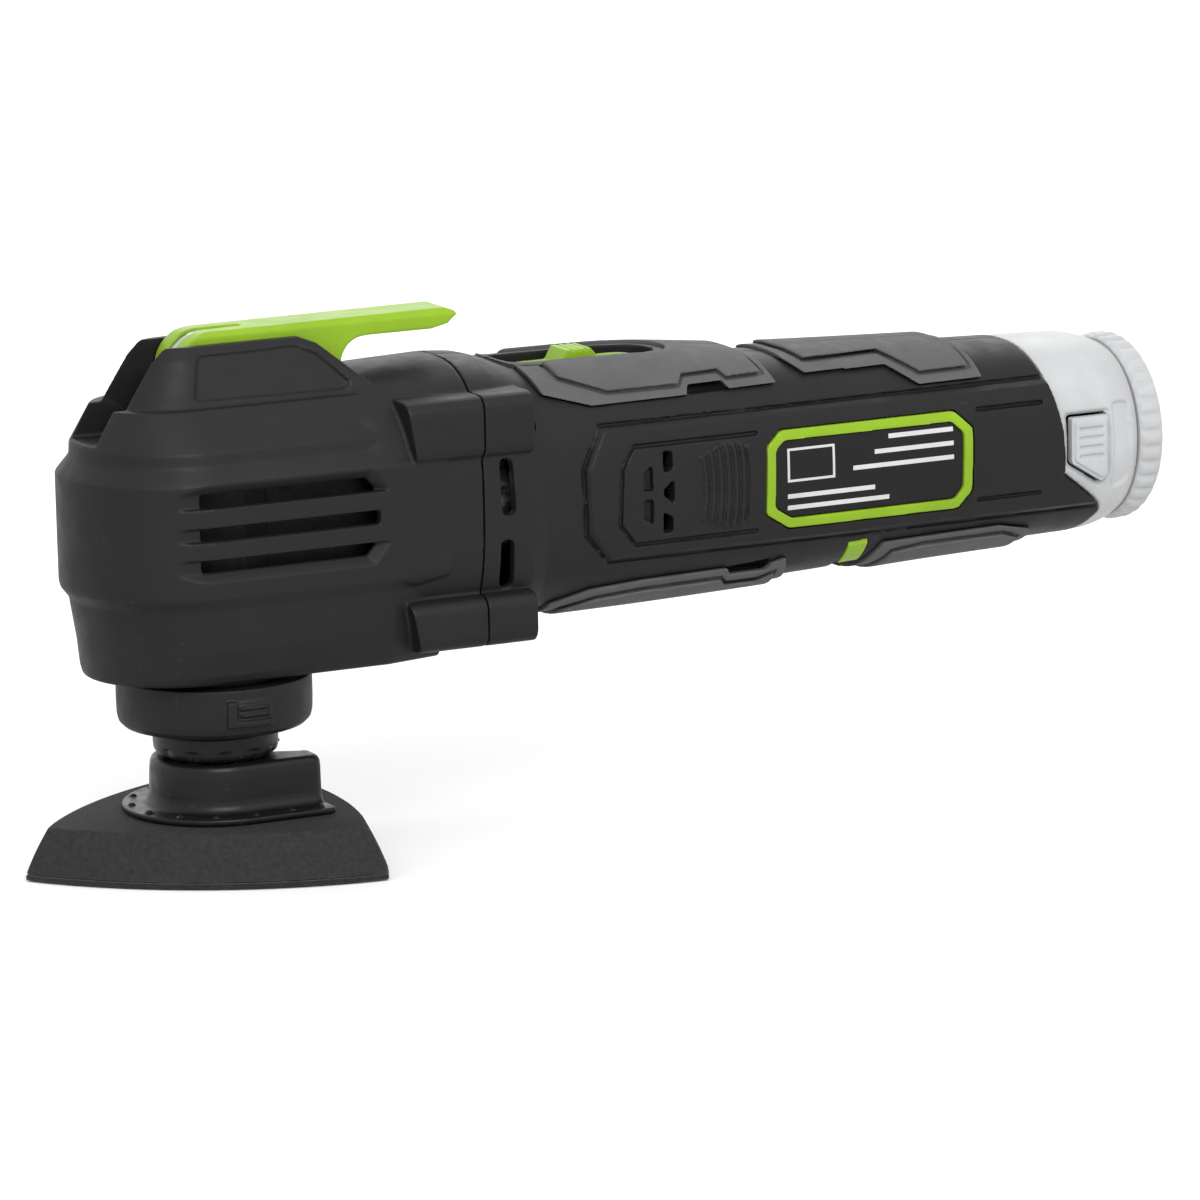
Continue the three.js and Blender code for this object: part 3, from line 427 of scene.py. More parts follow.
def smooth_stations(stations, step):
    """Stations filled in by a monotone cubic, so that the long surfaces flow."""
    count = len(stations)
    width = len(stations[0])
    slopes = []
    for i in range(count):
        if i in (0, count - 1):
            slopes.append([0.0] * width)
            continue
        before, here, after = stations[i - 1:i + 2]
        row = []
        for k in range(width):
            back = (here[k] - before[k]) / (here[0] - before[0])
            ahead = (after[k] - here[k]) / (after[0] - here[0])
            row.append(2 * back * ahead / (back + ahead) if back * ahead > 0 else 0.0)
        slopes.append(row)
    for end, near in ((0, 1), (-1, -2)):
        run = stations[near][0] - stations[end][0]
        slopes[end] = [(stations[near][k] - stations[end][k]) / run for k in range(width)]
    filled = []
    for i in range(count - 1):
        a, b = stations[i:i + 2]
        run = b[0] - a[0]
        steps = max(1, round(run / step))
        for n in range(steps):
            t = n / steps
            h = (2 * t ** 3 - 3 * t ** 2 + 1, t ** 3 - 2 * t ** 2 + t, 3 * t ** 2 - 2 * t ** 3, t ** 3 - t ** 2)
            values = [h[0] * a[k] + h[1] * run * slopes[i][k] + h[2] * b[k] + h[3] * run * slopes[i + 1][k]
                      for k in range(1, width)]
            filled.append((lerp(a[0], b[0], t), *values))
    return filled + [stations[-1]]


def body_loft(stations, grow=0.0, sides=144, step=2.5):
    return loft([ring_of(station, grow, sides) for station in smooth_stations(stations, step)])


# x, half width, bottom, top, squareness
HANDLE = [
    (HANDLE_X, 27, 48.8, 114.8, 2.7),
    (66, 27, 48.9, 114.2, 2.7),
    (72, 26.6, 49.4, 112.4, 2.8),
    (76, 25.6, 51.8, 111.3, 2.9),
    (104, 25.4, 52.2, 111, 2.9),
    (146, 25, 53.2, 107.5, 2.8),
    (185, 24.6, 54.5, 105.8, 2.6),
    (232, 24, 55.4, 104.2, 2.4),
]
HEAD_BACK = [
    (2, 24.4, 49, 105, 2.6),
    (20, 25.2, 49, 109, 2.6),
    (33, 26.7, 48.8, 113.8, 2.7),
    (SEAM_X, 27, 48.8, 114.8, 2.7),
]


def plan_ring(z, nose, half, rear, tuck=0.0, sides=96):
    """Nose seen from above: a half circle in front and straight sides, drawn in by tuck at the rear."""
    centre = nose + half
    ring = [(x, y, z) for x, y in arc(half, math.pi / 2, math.pi, sides, centre)]
    shoulder = max(centre + 1, rear - 14)
    ring += [(shoulder, -half, z), (rear, tuck - half, z), (rear, half - tuck, z), (shoulder, half, z)]
    return ring


# z, nose, half width, tuck at the rear
HEAD_NOSE = [
    (46, -31, 21.6, 3), (46.6, -31.5, 22.6, 3), (48.4, -31.9, 23.8, 3), (54.3, -32.4, 25.2, 3),
    (64.6, -34, 26.0, 3), (67.2, -36, 27, 0.5), (68.6, NOSE_X + 0.1, 27, 0.2), (94, NOSE_X, 27, 0.2),
    (95.2, -35.4, 26.3, 0.4), (97.8, -33.2, 24.7, 0.8), (98.4, -33.0, 24.5, 1), (101, -32.9, 24.1, 1.5),
    (110, -28.1, 17, 1.5),
]
CHEEKS = [(108, -26.4, 15.8), (120.7, -19, 11.2), (CHEEK_TOP, -16.6, 9.2)]


def nose_loft(rear, stations=HEAD_NOSE):
    return loft([plan_ring(z, nose, half, rear, tuck) for z, nose, half, tuck in stations])


def grown(outline, amount):
    """Flat outline moved outward by amount, with its corners mitred."""
    area = sum(a[0] * b[1] - b[0] * a[1] for a, b in zip(outline, outline[1:] + outline[:1]))
    turning = 1 if area > 0 else -1

    def normal(a, b):
        length = math.dist(a, b)
        return turning * (b[1] - a[1]) / length, -turning * (b[0] - a[0]) / length

    moved = []
    for i, point in enumerate(outline):
        ax, az = normal(outline[i - 1], point)
        bx, bz = normal(point, outline[(i + 1) % len(outline)])
        scale = amount / (1 + ax * bx + az * bz)
        moved.append((point[0] + (ax + bx) * scale, point[1] + (az + bz) * scale))
    return moved


def strip(points, width):
    """Outline of a narrow strip along a bent line."""
    left, right = [], []
    for i, point in enumerate(points):
        a = Vector(points[max(i - 1, 0)])
        b = Vector(points[min(i + 1, len(points) - 1)])
        along = (b - a).normalized()
        side = Vector((-along.y, along.x)) * width / 2
        left.append((point[0] + side.x, point[1] + side.y))
        right.append((point[0] - side.x, point[1] - side.y))
    return left + right[::-1]


def capsule(x0, x1, half, steps=24):
    """Slot outline with round ends, along X."""
    return (arc(half, -math.pi / 2, math.pi, steps, x1 - half)
            + arc(half, math.pi / 2, math.pi, steps, x0 + half))


def rounded(outline, radius, steps=5):
    """Outline with each corner cut back by radius and rounded."""
    result = []
    for i, corner in enumerate(outline):
        before = Vector(outline[i - 1])
        here = Vector(corner)
        after = Vector(outline[(i + 1) % len(outline)])
        reach = min(radius, (before - here).length * 0.45, (after - here).length * 0.45)
        a = here + (before - here).normalized() * reach
        b = here + (after - here).normalized() * reach
        for n in range(steps + 1):
            t = n / steps
            result.append(tuple(a * (1 - t) ** 2 + here * 2 * t * (1 - t) + b * t ** 2))
    return result


# ---- bosses of the four head screws
BOSSES = [(-1, 93.6, 108.6), (1, 93.6, 108.6), (-1, 48.5, 60.9), (1, 48.5, 60.9)]
BOSS_OUT = 28.4
BOSS_REAR = 71.5
SCREW_Y = 24.4
VENT_FACE = 27                    # half width of the head beside its vents
CHAMFER = 2.3                     # height of the chamfers above and below the vents


def boss(side, low, high, x0, x1, slant):
    """Rounded screw boss along X; slant leans its open end forward at the top."""
    outline = [(side * 14, low), (side * BOSS_OUT, low), (side * BOSS_OUT, high), (side * 14, high)]
    piece = prism_x(rounded(outline, 4.0), x0, x1)
    lean = [(x0 - 9, low - 2), (x0 + slant, low - 2), (x0, high + 2), (x0 - 9, high + 2)]
    return cut(piece, prism_y(lean, -40, 40)) if slant else piece


def screw_z(low, high):
    return (low + high) / 2 if low < 80 else 101.8


# ---- head
def chamfered_slot(side, edge, open_edge, away):
    """Slot whose far edge and rear end run out in a chamfer; away is +1 above and -1 below."""
    rings = []
    for y, run in ((25.2, 0), (VENT_FACE, 1), (28.6, 1.9)):
        far_edge = edge + away * CHAMFER * run
        rings.append([(-40, side * y, open_edge), (31.6 + 3.2 * run, side * y, open_edge),
                      (28.8 + 1.6 * run, side * y, far_edge), (-40, side * y, far_edge)])
    return loft(rings)


def head_vents(side):
    """Three slots with grooves that run out towards the nose, chamfered above and below the group."""
    tools = []
    for z, half, rear in ((90.2, 1.6, [(31.6, -1), (28.8, 1)]), (82.5, 1.6, [(31.8, -1), (31.8, 1)]),
                          (75.1, 1.6, [(28.8, -1), (31.6, 1)])):
        slot = [(-13, z - half)] + [(x, z + end * half) for x, end in rear] + [(-13, z + half)]
        tools.append(prism_y(slot, *sorted((side * 20, side * 40))))
        groove = [(-30, z - half), (-12, z - half), (-12, z + half), (-30, z + half)]
        tools.append(prism_y(groove, *sorted((side * 25.2, side * 40))))
    tools.append(chamfered_slot(side, 91.8, 88.6, 1))
    tools.append(chamfered_slot(side, 73.5, 76.7, -1))
    return tools


def cheek_panel(side):
    """Shallow field on the outer face of a cheek."""
    outline = [(-9, 111.6), (-6.5, 121.6), (18.6, 121.9), (23.2, 120), (31, 112.6), (29, 111.2)]
    field = prism_y(rounded(outline, 1.4), *sorted((side * 2, side * 40)))
    inner = loft([plan_ring(z, nose + 0.3, half - 0.75, 60) for z, nose, half in CHEEKS])
    return cut(field, inner)


def head_housing():
    slope = [(-40, 100), (-40, 130), (19, 130), (20, CHEEK_TOP), (24, 122), (37, 111), (37, 100)]
    cheeks = common(loft([plan_ring(z, nose, half, 44) for z, nose, half in CHEEKS]), prism_y(slope, -30, 30))
    bosses = [boss(side, low, high, 38.4, SEAM_X, 3.2) for side, low, high in BOSSES]
    body = join(nose_loft(SEAM_X - 9), body_loft(HEAD_BACK), cheeks, *bosses)
    body = common(body, block(-60, SEAM_X, -40, 40, 40, 140))
    inner = [(z + (WALL if i == 0 else 0), nose + WALL, half - WALL, tuck)
             for i, (z, nose, half, tuck) in enumerate(HEAD_NOSE[:-1]) if i != 1]
    back = [(x + (1 if x == SEAM_X else 0), *rest) for x, *rest in HEAD_BACK]
    body = cut(body, nose_loft(SEAM_X - 6, stations=inner), body_loft(back, -WALL))
    body = cut(body, block(-60, 33, -CHANNEL, CHANNEL, 102, 140),
               block(-14, 32, -CHANNEL, CHANNEL, 95, 104))
    body = cut(body, turned_z([(9.2, 90), (9.2, 104)]), turned_z([(17.7, 40), (17.7, 50)]))
    body = cut(body, turned_y([(PIN_BORE, -9.6), (PIN_BORE, 9.6)], x=PIN_X, z=PIN_Z))
    for side in (-1, 1):
        body = cut(body, *head_vents(side), cheek_panel(side))
    # The ledge low on each side ends in a slanted step behind the vents.
    ledge = prism_y([(46, 65.6), (41.4, 65.6), (37.4, 61.8), (46, 61.8)], -40, 40)
    body = cut(body, cut(ledge, block(0, 60, -25.9, 25.9, 50, 80)))
    finished(moulded(body), "head_shell", "tool_body", "black", ["head_housing"])


def nose_collar():
    """Plain ring under the head, with a small raised key on its left side."""
    radius = -COLLAR_LOW.x if -COLLAR_LOW.x < 24 else 22.96
    low = COLLAR_LOW.z
    profile = [(17.5, low + 0.3), (radius - 3.2, low), (radius - 1.6, low + 0.3), (radius - 0.5, low + 1.4),
               (radius - 0.1, low + 3), (radius, low + 6), (radius, COLLAR_HIGH.z), (17.5, COLLAR_HIGH.z)]
    ring = loft([[(u, v, z) for u, v in circle(r, 128)] for r, z in profile])
    ring = cut(ring, turned_z([(17.5, low - 1), (17.5, COLLAR_HIGH.z + 1)]))
    bars = [((-6.6, -4.4), (35.8, 41.8), 1.05), ((-5, 4.9), (35.8, 37.2), 1.05), ((-5, 4.6), (36, 41.6), 0.3),
            ((-3.6, 4.2), (38.1, 38.8), 0.9), ((-3.6, 4.2), (39.8, 40.5), 0.9)]
    key = [common(block(*across, -40, -10, *up), turned_z([(radius + rise, 34), (radius + rise, 43)], 128))
           for across, up, rise in bars]
    finished(moulded(join(ring, *key), 0.28, 1), "nose_ring", "tool_body", "black", ["nose_collar"])


# ---- handle
GRIPS = {
    "top_front": [(75.4, 113), (77.6, 106), (89.6, 102.6), (115, 102.8), (116, 105), (125.6, 105),
                  (127, 103), (140.4, 103), (139.4, 106.4), (138, 113)],
    "top_rear": [(145.4, 112), (146.4, 107), (149.4, 104.2), (172.2, 104), (179, 99.2), (197, 99.2),
                 (195.6, 112)],
    "bottom_front": [(77.6, 44), (79.6, 55), (89.3, 58), (102.7, 59), (125.6, 59.4), (127, 57.6), (137, 57.6),
                     (138, 59.4), (141.4, 60.4), (148, 44)],
    "bottom_rear": [(160, 44), (168.8, 61.3), (201.7, 61.9), (211.6, 59.7), (213, 44)],
}
GRIP_FIELDS = {
    "top_front": [(81.5, 114), (83.2, 109.3), (94, 105.6), (113.2, 105.4), (115.2, 107.4), (125.4, 107.4),
                  (127, 105.7), (137.2, 105.7), (136.4, 108), (135.6, 114)],
    "top_rear": [(147.6, 113), (148.8, 109.4), (151.2, 107), (172.8, 106.8), (180, 102), (194.2, 102),
                 (192.8, 113)],
    "bottom_front": [(82, 43), (83.6, 52.8), (91.5, 55.2), (103, 56.1), (124.6, 56.5), (127, 54.6), (136, 54.6),
                     (139.6, 56.4), (144, 43)],
    "bottom_rear": [(165, 43), (172.2, 58.2), (180, 59.2), (203, 59.4), (208.6, 57.6), (209.6, 43)],
}
WINDOW_HALF = 15.5                # half width of the dial's window
WINDOW_REACH = 21                 # how far its green ends reach to the sides
RECESS = 1.0
PAD_PROUD = 0.9
LABEL = [(134.4, 88.9), (138.3, 92.4), (186.5, 92.4), (191.3, 88), (191, 72.6), (187.4, 68.4),
         (140.4, 68.4), (134, 72.4)]
LABEL_BORDER = 2.4
PANEL = [(90.6, 97.4), (86, 88), (86.6, 72.2), (92.6, 65.2), (240, 64.6), (240, 97)]
INNER_LINE = [(132, 92.4), (98.4, 92.4), (95.2, 87.4), (94.6, 73.8), (98.8, 68.7), (132, 68.7)]
GLYPH = [
    [(100.8, 85.6), (103.2, 87.9), (103.4, 81.5), (100.8, 81.5)],
    [(100.8, 79.3), (103.4, 79.3), (103.4, 73.1), (100.8, 75)],
    [(106.1, 90.6), (108.6, 90.6), (108.8, 86.4), (106.2, 85.2)],
    [(106.2, 81.4), (109, 83.8), (109, 77.6), (106.2, 80)],
    [(106.1, 76), (108.8, 74.4), (108.7, 70.8), (106.1, 70.8)],
]
# Dark pockets beside the notches of the front grip pads.
POCKETS = [[(115.7, 102.6), (126.9, 102.6), (125.4, 105.2), (116.4, 105.2)],
           [(125.9, 59.6), (127.2, 57.4), (136.8, 57.4), (137.8, 60.6)]]
REAR_LINES = [[(192.6, 92.1), (212, 92.1)], [(192.6, 69.9), (211, 69.9)]]
SHELL_SCREWS = [(88, 61.8), (124, 94), (154, 64), (155, 98)]


def side_panel(side):
    """Raised side panel with sloped walls, stacked in three layers."""
    layers = []
    for k in range(3):
        outline = grown(PANEL, -0.4 * k)
        layers.append(common(on_side(outline, side, 15), body_loft(HANDLE, PANEL_RISE * (k + 1) / 3)))
    return layers


def panel_groove(side):
    """Narrow groove round the foot of the raised panel."""
    line = grown(PANEL, 0.45)
    path = [line[5], *line[:5]]
    return cut(on_side(strip(path, 0.9), side, 15), body_loft(HANDLE, -0.75))


def ribs(side):
    """Seven bowed finger ribs on the side panel."""
    made = []
    for i in range(7):
        x = 116.6 + i * 2.05
        half = 7.6 + 2.6 * min(i, 3) / 3 if i < 6 else 9.2
        bow = 0.9
        line = [(x + bow * (1 - (2 * t - 1) ** 2), lerp(80.6 - half, 80.6 + half, t)) for t in
                [n / 10 for n in range(11)]]
        made.append(common(on_side(strip(line, 0.95), side, 15), body_loft(HANDLE, PANEL_RISE + 0.7)))
    return made


def handle_shell(side):
    bosses = [boss(s, low, high, HANDLE_X, BOSS_REAR, 0) for s, low, high in BOSSES if s == side]
    rim = common(prism_z(capsule(71, 119, 10), 96, 116), body_loft(HANDLE, 0.8))
    body = join(body_loft(HANDLE), rim, *bosses, *side_panel(side), *ribs(side))
    outline = [(HANDLE_X, 40), (226, 40), (227, 56.8), (230.4, 62.6), (229.4, 64.2), (217.2, 73.4),
               (217.5, 78), (216.9, 85), (215.5, 92), (213.6, 100), (211.6, 108), (209, 120), (HANDLE_X, 120)]
    body = common(body, prism_y(outline, -45, 45))
    hollow = [(x - (1 if i == 0 else 0) + (1 if i == len(HANDLE) - 1 else 0), *rest)
              for i, (x, *rest) in enumerate(HANDLE)]
    body = cut(body, body_loft(hollow, -WALL))
    # Floor of the switch recess, over the motor.
    body = join(body, common(prism_z(capsule(70.5, 119.5, 9.6), 106.2, 108.5), body_loft(HANDLE, -0.5)))
    for name, grip in GRIPS.items():
        seat = cut(prism_y(grown(grip, GAP), -40, 40), body_loft(HANDLE, -RECESS))
        if name == "top_front":
            seat = cut(seat, prism_z(capsule(71, 119, 10), 90, 120))
        body = cut(body, seat)
    if side < 0:
        body = cut(body, cut(on_side(rounded(grown(LABEL, GAP), 0.8), side, 15), body_loft(HANDLE, -RECESS)))
    groove = PANEL_RISE - 1.0
    body = cut(body, panel_groove(side))
    body = cut(body, cut(on_side(strip(INNER_LINE, 1.1), side, 15), body_loft(HANDLE, groove)))
    for line in REAR_LINES:
        body = cut(body, cut(on_side(strip(line, 1.0), side, 15), body_loft(HANDLE, groove)))
    for i, shape in enumerate(GLYPH):
        opening = on_side(rounded(shape, 0.3, 2), side, 18)
        body = cut(body, opening if i > 1 else cut(opening, body_loft(HANDLE, -0.6)))
    for pocket in POCKETS:
        body = cut(body, cut(on_side(pocket, side, 10), body_loft(HANDLE, -1.9)))
    body = cut(body, prism_z(capsule(73.5, 116.5, 6.6), 108.4, 120), block(83, 106, -2, 2, 100, 112))
    body = cut(body, block(DIAL_LOW.x - 0.8, DIAL_HIGH.x + 0.8, -WINDOW_HALF, WINDOW_HALF, 40, 64))
    ends = block(DIAL_LOW.x - GAP, DIAL_HIGH.x + GAP, -WINDOW_REACH - GAP, WINDOW_REACH + GAP, 40, 66)
    body = cut(body, cut(ends, body_loft(HANDLE, -RECESS)))
    for low, high in ((79.5, 93.0), (61.8, 73.6)):
        slot = rounded([(63.3, low), (66.9, low), (66.3, high), (62.9, high)], 1.5)
        body = cut(body, on_side(slot, side, 20))
    for s, low, high in BOSSES:
        z = screw_z(low, high)
        if s == side:
            body = cut(body, turned_x([(1.9, HANDLE_X - 1), (1.9, 73)], 32, s * SCREW_Y, z),
                       turned_x([(3.6, 66), (3.6, 74)], 32, s * SCREW_Y, z))
    if side > 0:
        for x, z in SHELL_SCREWS:
            body = cut(body, turned_y([(3.1, 22.4), (3.1, 40)], 32, x, z))
            body = cut(body, turned_y([(1.6, 10), (1.6, 40)], 32, x, z))
    half = block(0, 260, *sorted((side * 60, side * SPLIT)), 0, 200)
    label = side_name(side)
    finished(moulded(common(body, half), 0.34, 1, 0.45), f"handle_case_{label}", "tool_body", "black",
             [f"handle_shell_{label}"])


def grip_pad(name, side):
    """Soft pad with a raised field inside a lower border."""
    base = common(prism_y(GRIPS[name], *sorted((side * GAP / 2, side * 40))), body_loft(HANDLE, PAD_PROUD))
    layers = []
    for k in range(2):
        field = prism_y(grown(GRIP_FIELDS[name], -0.4 * k), *sorted((side * GAP / 2, side * 40)))
        layers.append(common(field, body_loft(HANDLE, PAD_PROUD + PAD_STEP * (k + 1) / 2)))
    reach = sorted((side * GAP / 2, side * 40))
    moat = cut(prism_y(grown(GRIP_FIELDS[name], 0.9), *reach), prism_y(grown(GRIP_FIELDS[name], -0.2), -41, 41))
    base = cut(base, cut(moat, body_loft(HANDLE, PAD_PROUD - 0.8)))
    pad = cut(join(base, *layers), body_loft(HANDLE, GAP - RECESS))
    if name == "top_front":
        pad = cut(pad, prism_z(capsule(71 - GAP, 119 + GAP, 10 + GAP), 90, 120))
    label = side_name(side)
    finished(moulded(pad, 0.3, 1, 0.6), f"grip_{name}_{label}_pad", "tool_body", "rubber",
             [f"grip_{name}_{label}"])


def label_pieces():
    outline = rounded(LABEL, 0.9)
    inner = rounded(grown(LABEL, -LABEL_BORDER), 0.8)
    border = common(cut(on_side(outline, -1, 15), on_side(inner, -1, 14, 46)), body_loft(HANDLE, 1.25))
    border = cut(border, body_loft(HANDLE, GAP - RECESS))
    finished(moulded(border, 0.3, 3, 0.6), "label_frame", "tool_body", "green",
             ["label_border"])
    face = common(on_side(rounded(grown(LABEL, -LABEL_BORDER - GAP), 0.7), -1, 15), body_loft(HANDLE, 0.55))
    face = cut(face, body_loft(HANDLE, GAP - RECESS))
    finished(face, "label_face", "tool_body", "label", ["label_plate"])
    # Plain printed rules stand where such a label has its data, with no lettering.
    bars = [(168, 186, 87.6), (164, 186, 84.2), (158, 186, 80.8), (140, 164, 75.6), (140, 168, 72.8)]
    rules = [common(on_side([(x0, z), (x1, z), (x1, z + 1.1), (x0, z + 1.1)], -1, 15), body_loft(HANDLE, 0.62))
             for x0, x1, z in bars]
    rules = [cut(rule, body_loft(HANDLE, 0.5)) for rule in rules]
    frame_bar = cut(on_side([(140, 79.6), (153, 79.6), (153, 87.8), (140, 87.8)], -1, 15),
                    on_side([(140.6, 80.2), (152.4, 80.2), (152.4, 87.2), (140.6, 87.2)], -1, 14, 46))
    rules.append(cut(common(frame_bar, body_loft(HANDLE, 0.62)), body_loft(HANDLE, 0.5)))
    printed = join(*rules)
    finished(printed, "label_rules", "tool_body", "print")


# ---- lever
def lever():
    cam_x, cam_z, cam_r = -0.86, 117.0, 9.2
    outline = []
    for i in range(49):
        angle = -math.pi / 2 - i / 48 * math.pi
        outline.append((cam_x + cam_r * math.cos(angle), cam_z + cam_r * math.sin(angle)))
    top = LEVER_TOP
    outline += [(59.4, top - 0.02), (61.9, top - 0.9), (62.3, top - 1.7), (59.8, 122.8), (55.6, 121.9),
                (38.6, 121.9)]
    for i in range(9):
        angle = math.pi / 2 + i / 8 * math.pi / 2
        outline.append((38.2 + 6.2 * math.cos(angle), 115.6 + 6.2 * math.sin(angle)))
    outline += [(31.6, 113), (12, 111), (6, 110.4)]
    half = 6.6
    section = [(-half, 100), (half, 100), (half, top - 1.5), (half - 1.7, top + 0.3), (1.7 - half, top + 0.3),
               (-half, top - 1.5)]
    arm = common(prism_y(outline, -9, 9), prism_x(section, -30, 80))
    arm = cut(arm, turned_y([(PIN_BORE, -10), (PIN_BORE, 10)], x=PIN_X, z=PIN_Z))
    arm = cut(arm, prism_z([(-30, -2.2), (-4, -1.9), (9, -1.3), (9, 1.3), (-4, 1.9), (-30, 2.2)], 100, 140))
    finished(moulded(arm, 0.32, 2, 0.6), "lever_arm", "release_lever", "green", ["lever"])
    strip_outline = [(cam_x + (cam_r - 0.6) * math.cos(a), cam_z + (cam_r - 0.6) * math.sin(a))
                     for a in [math.pi / 2 + i / 40 * math.pi for i in range(41)]]
    strip_outline += [(8.4, cam_z - cam_r + 3), (8.4, cam_z + cam_r - 0.6)]
    wide = prism_z([(-30, -1.8), (-4, -1.6), (8.6, -1), (8.6, 1), (-4, 1.6), (-30, 1.8)], 100, 140)
    steel = common(prism_y(strip_outline, -3, 3), wide)
    steel = cut(steel, turned_y([(PIN_BORE, -10), (PIN_BORE, 10)], x=PIN_X, z=PIN_Z))
    finished(bevelled(steel, 0.25), "lever_strip", "release_lever", "steel", ["lever_insert"])


def slide_switch():
    low, high = box_mm("switch_slider")
    plate = prism_z(capsule(79.5, 112, 5), 108.7, 109.9)
    hump = [(89.6, 109), (92, high.z), (98.4, high.z), (102, 109)]
    button = join(plate, prism_y(hump, -4.4, 4.4), block(90, 99, -1.6, 1.6, low.z + 0.6, 109.5))
    button = join(button, block(90, high.x, -3, 3, low.z, low.z + 1.6))
    for i in range(3):
        x = 93.4 + i * 1.8
        button = cut(button, block(x, x + 0.7, -5, 5, high.z - 0.5, high.z + 1))
    finished(moulded(button, 0.28, 2, 0.6), "slide_button", "slide_switch", "green",
             ["switch_slider"])


def speed_dial():
    radius = DIAL_HIGH.z - DIAL_Z
    teeth = 45
    outline = []
    for i in range(teeth * 6):
        angle = 2 * math.pi * i / (teeth * 6)
        reach = radius - 0.35 + 0.35 * math.cos(angle * teeth)
        outline.append((reach * math.cos(angle), DIAL_Z + reach * math.sin(angle)))
    wheel = cut(prism_x(outline, DIAL_LOW.x, DIAL_HIGH.x),
                turned_x([(2.3, 150), (2.3, 170)], 32, 0, DIAL_Z))
    finished(bevelled(wheel, 0.3), "dial_wheel", "dial", "green", ["speed_dial"])


def dial_window_ends():
    """Green ends of the dial's window, where it wraps round the lower edges of the handle."""
    across = [(DIAL_LOW.x, -WINDOW_REACH), (DIAL_HIGH.x, -WINDOW_REACH), (DIAL_HIGH.x, WINDOW_REACH),
              (DIAL_LOW.x, WINDOW_REACH)]
    band = cut(prism_z(across, 50, 66), body_loft(HANDLE, 0.05 - RECESS))
    band = common(band, body_loft(HANDLE, 0.2))
    band = cut(band, block(150, 170, -WINDOW_HALF, WINDOW_HALF, 40, 70))
    finished(band, "dial_window_ends", "tool_body", "green")


# ---- working end
def delta_ring(radius, bulge, z, steps=40, soft=1.5):
    """Triangle with bowed sides; its corners are rounded by soft."""
    chord = radius * math.sqrt(3)
    arc = (chord * chord / 4 + bulge * bulge) / (2 * bulge)
    half_angle = math.asin(chord / 2 / arc)
    centre = radius / 2 + bulge - arc
    ring = []
    for side in range(3):
        facing = math.pi + math.pi / 3 + side * 2 * math.pi / 3
        for i in range(steps):
            angle = facing + lerp(-half_angle, half_angle, i / steps)
            ring.append((centre * math.cos(facing) + arc * math.cos(angle),
                         centre * math.sin(facing) + arc * math.sin(angle)))
    corners = [(radius * math.cos(a), radius * math.sin(a)) for a in
               [math.pi + side * 2 * math.pi / 3 for side in range(3)]]
    softened = []
    for x, y in ring:
        near = min(math.dist((x, y), c) for c in corners)
        pull = soft * max(0.0, 1 - near / 6) ** 2
        length = math.hypot(x, y)
        softened.append((x * (1 - pull / length), y * (1 - pull / length), z))
    return softened


def sanding_pad():
    """Foam wedge with a faint bulge in its sides, and the hook layer under it."""
    low = box_mm("foam_pad")[0].z
    rows = 14
    rings = []
    for i in range(rows + 1):
        t = i / rows
        swell = 0.35 * math.sin(math.pi * t)
        rings.append(delta_ring(lerp(49.2, 43.3, t) + swell, lerp(9.2, 7.3, t), lerp(low, PAD_TOP, t), soft=0.2))
    foam = finished(bevelled(loft(rings), 0.3, 2, 25), "foam_block", "spindle_set", "foam",
                    ["foam_pad"], 25)
    top = box_mm("hook_layer")[1].z
    rings = [delta_ring(49.0, 9.2, 0, soft=0.2), delta_ring(49.25, 9.2, 0.2, soft=0.2),
             delta_ring(49.25, 9.2, top - 0.2, soft=0.2), delta_ring(49.05, 9.2, top, soft=0.2)]
    finished(loft(rings), "hook_sheet", "spindle_set", "hook", ["hook_layer"])


def d_plan(radius, rear, z, corner=2.5, steps=48):
    """Half circle in front and straight sides to a rear with rounded corners."""
    ring = [(radius * math.cos(a), radius * math.sin(a), z) for a in
            [math.pi / 2 + i / steps * math.pi for i in range(steps + 1)]]
    for start, sign in ((-math.pi / 2, -1), (0, 1)):
        for i in range(9):
            a = start + i / 8 * math.pi / 2
            ring.append((rear - corner + corner * math.cos(a), sign * (radius - corner) + corner * math.sin(a), z))
    return ring


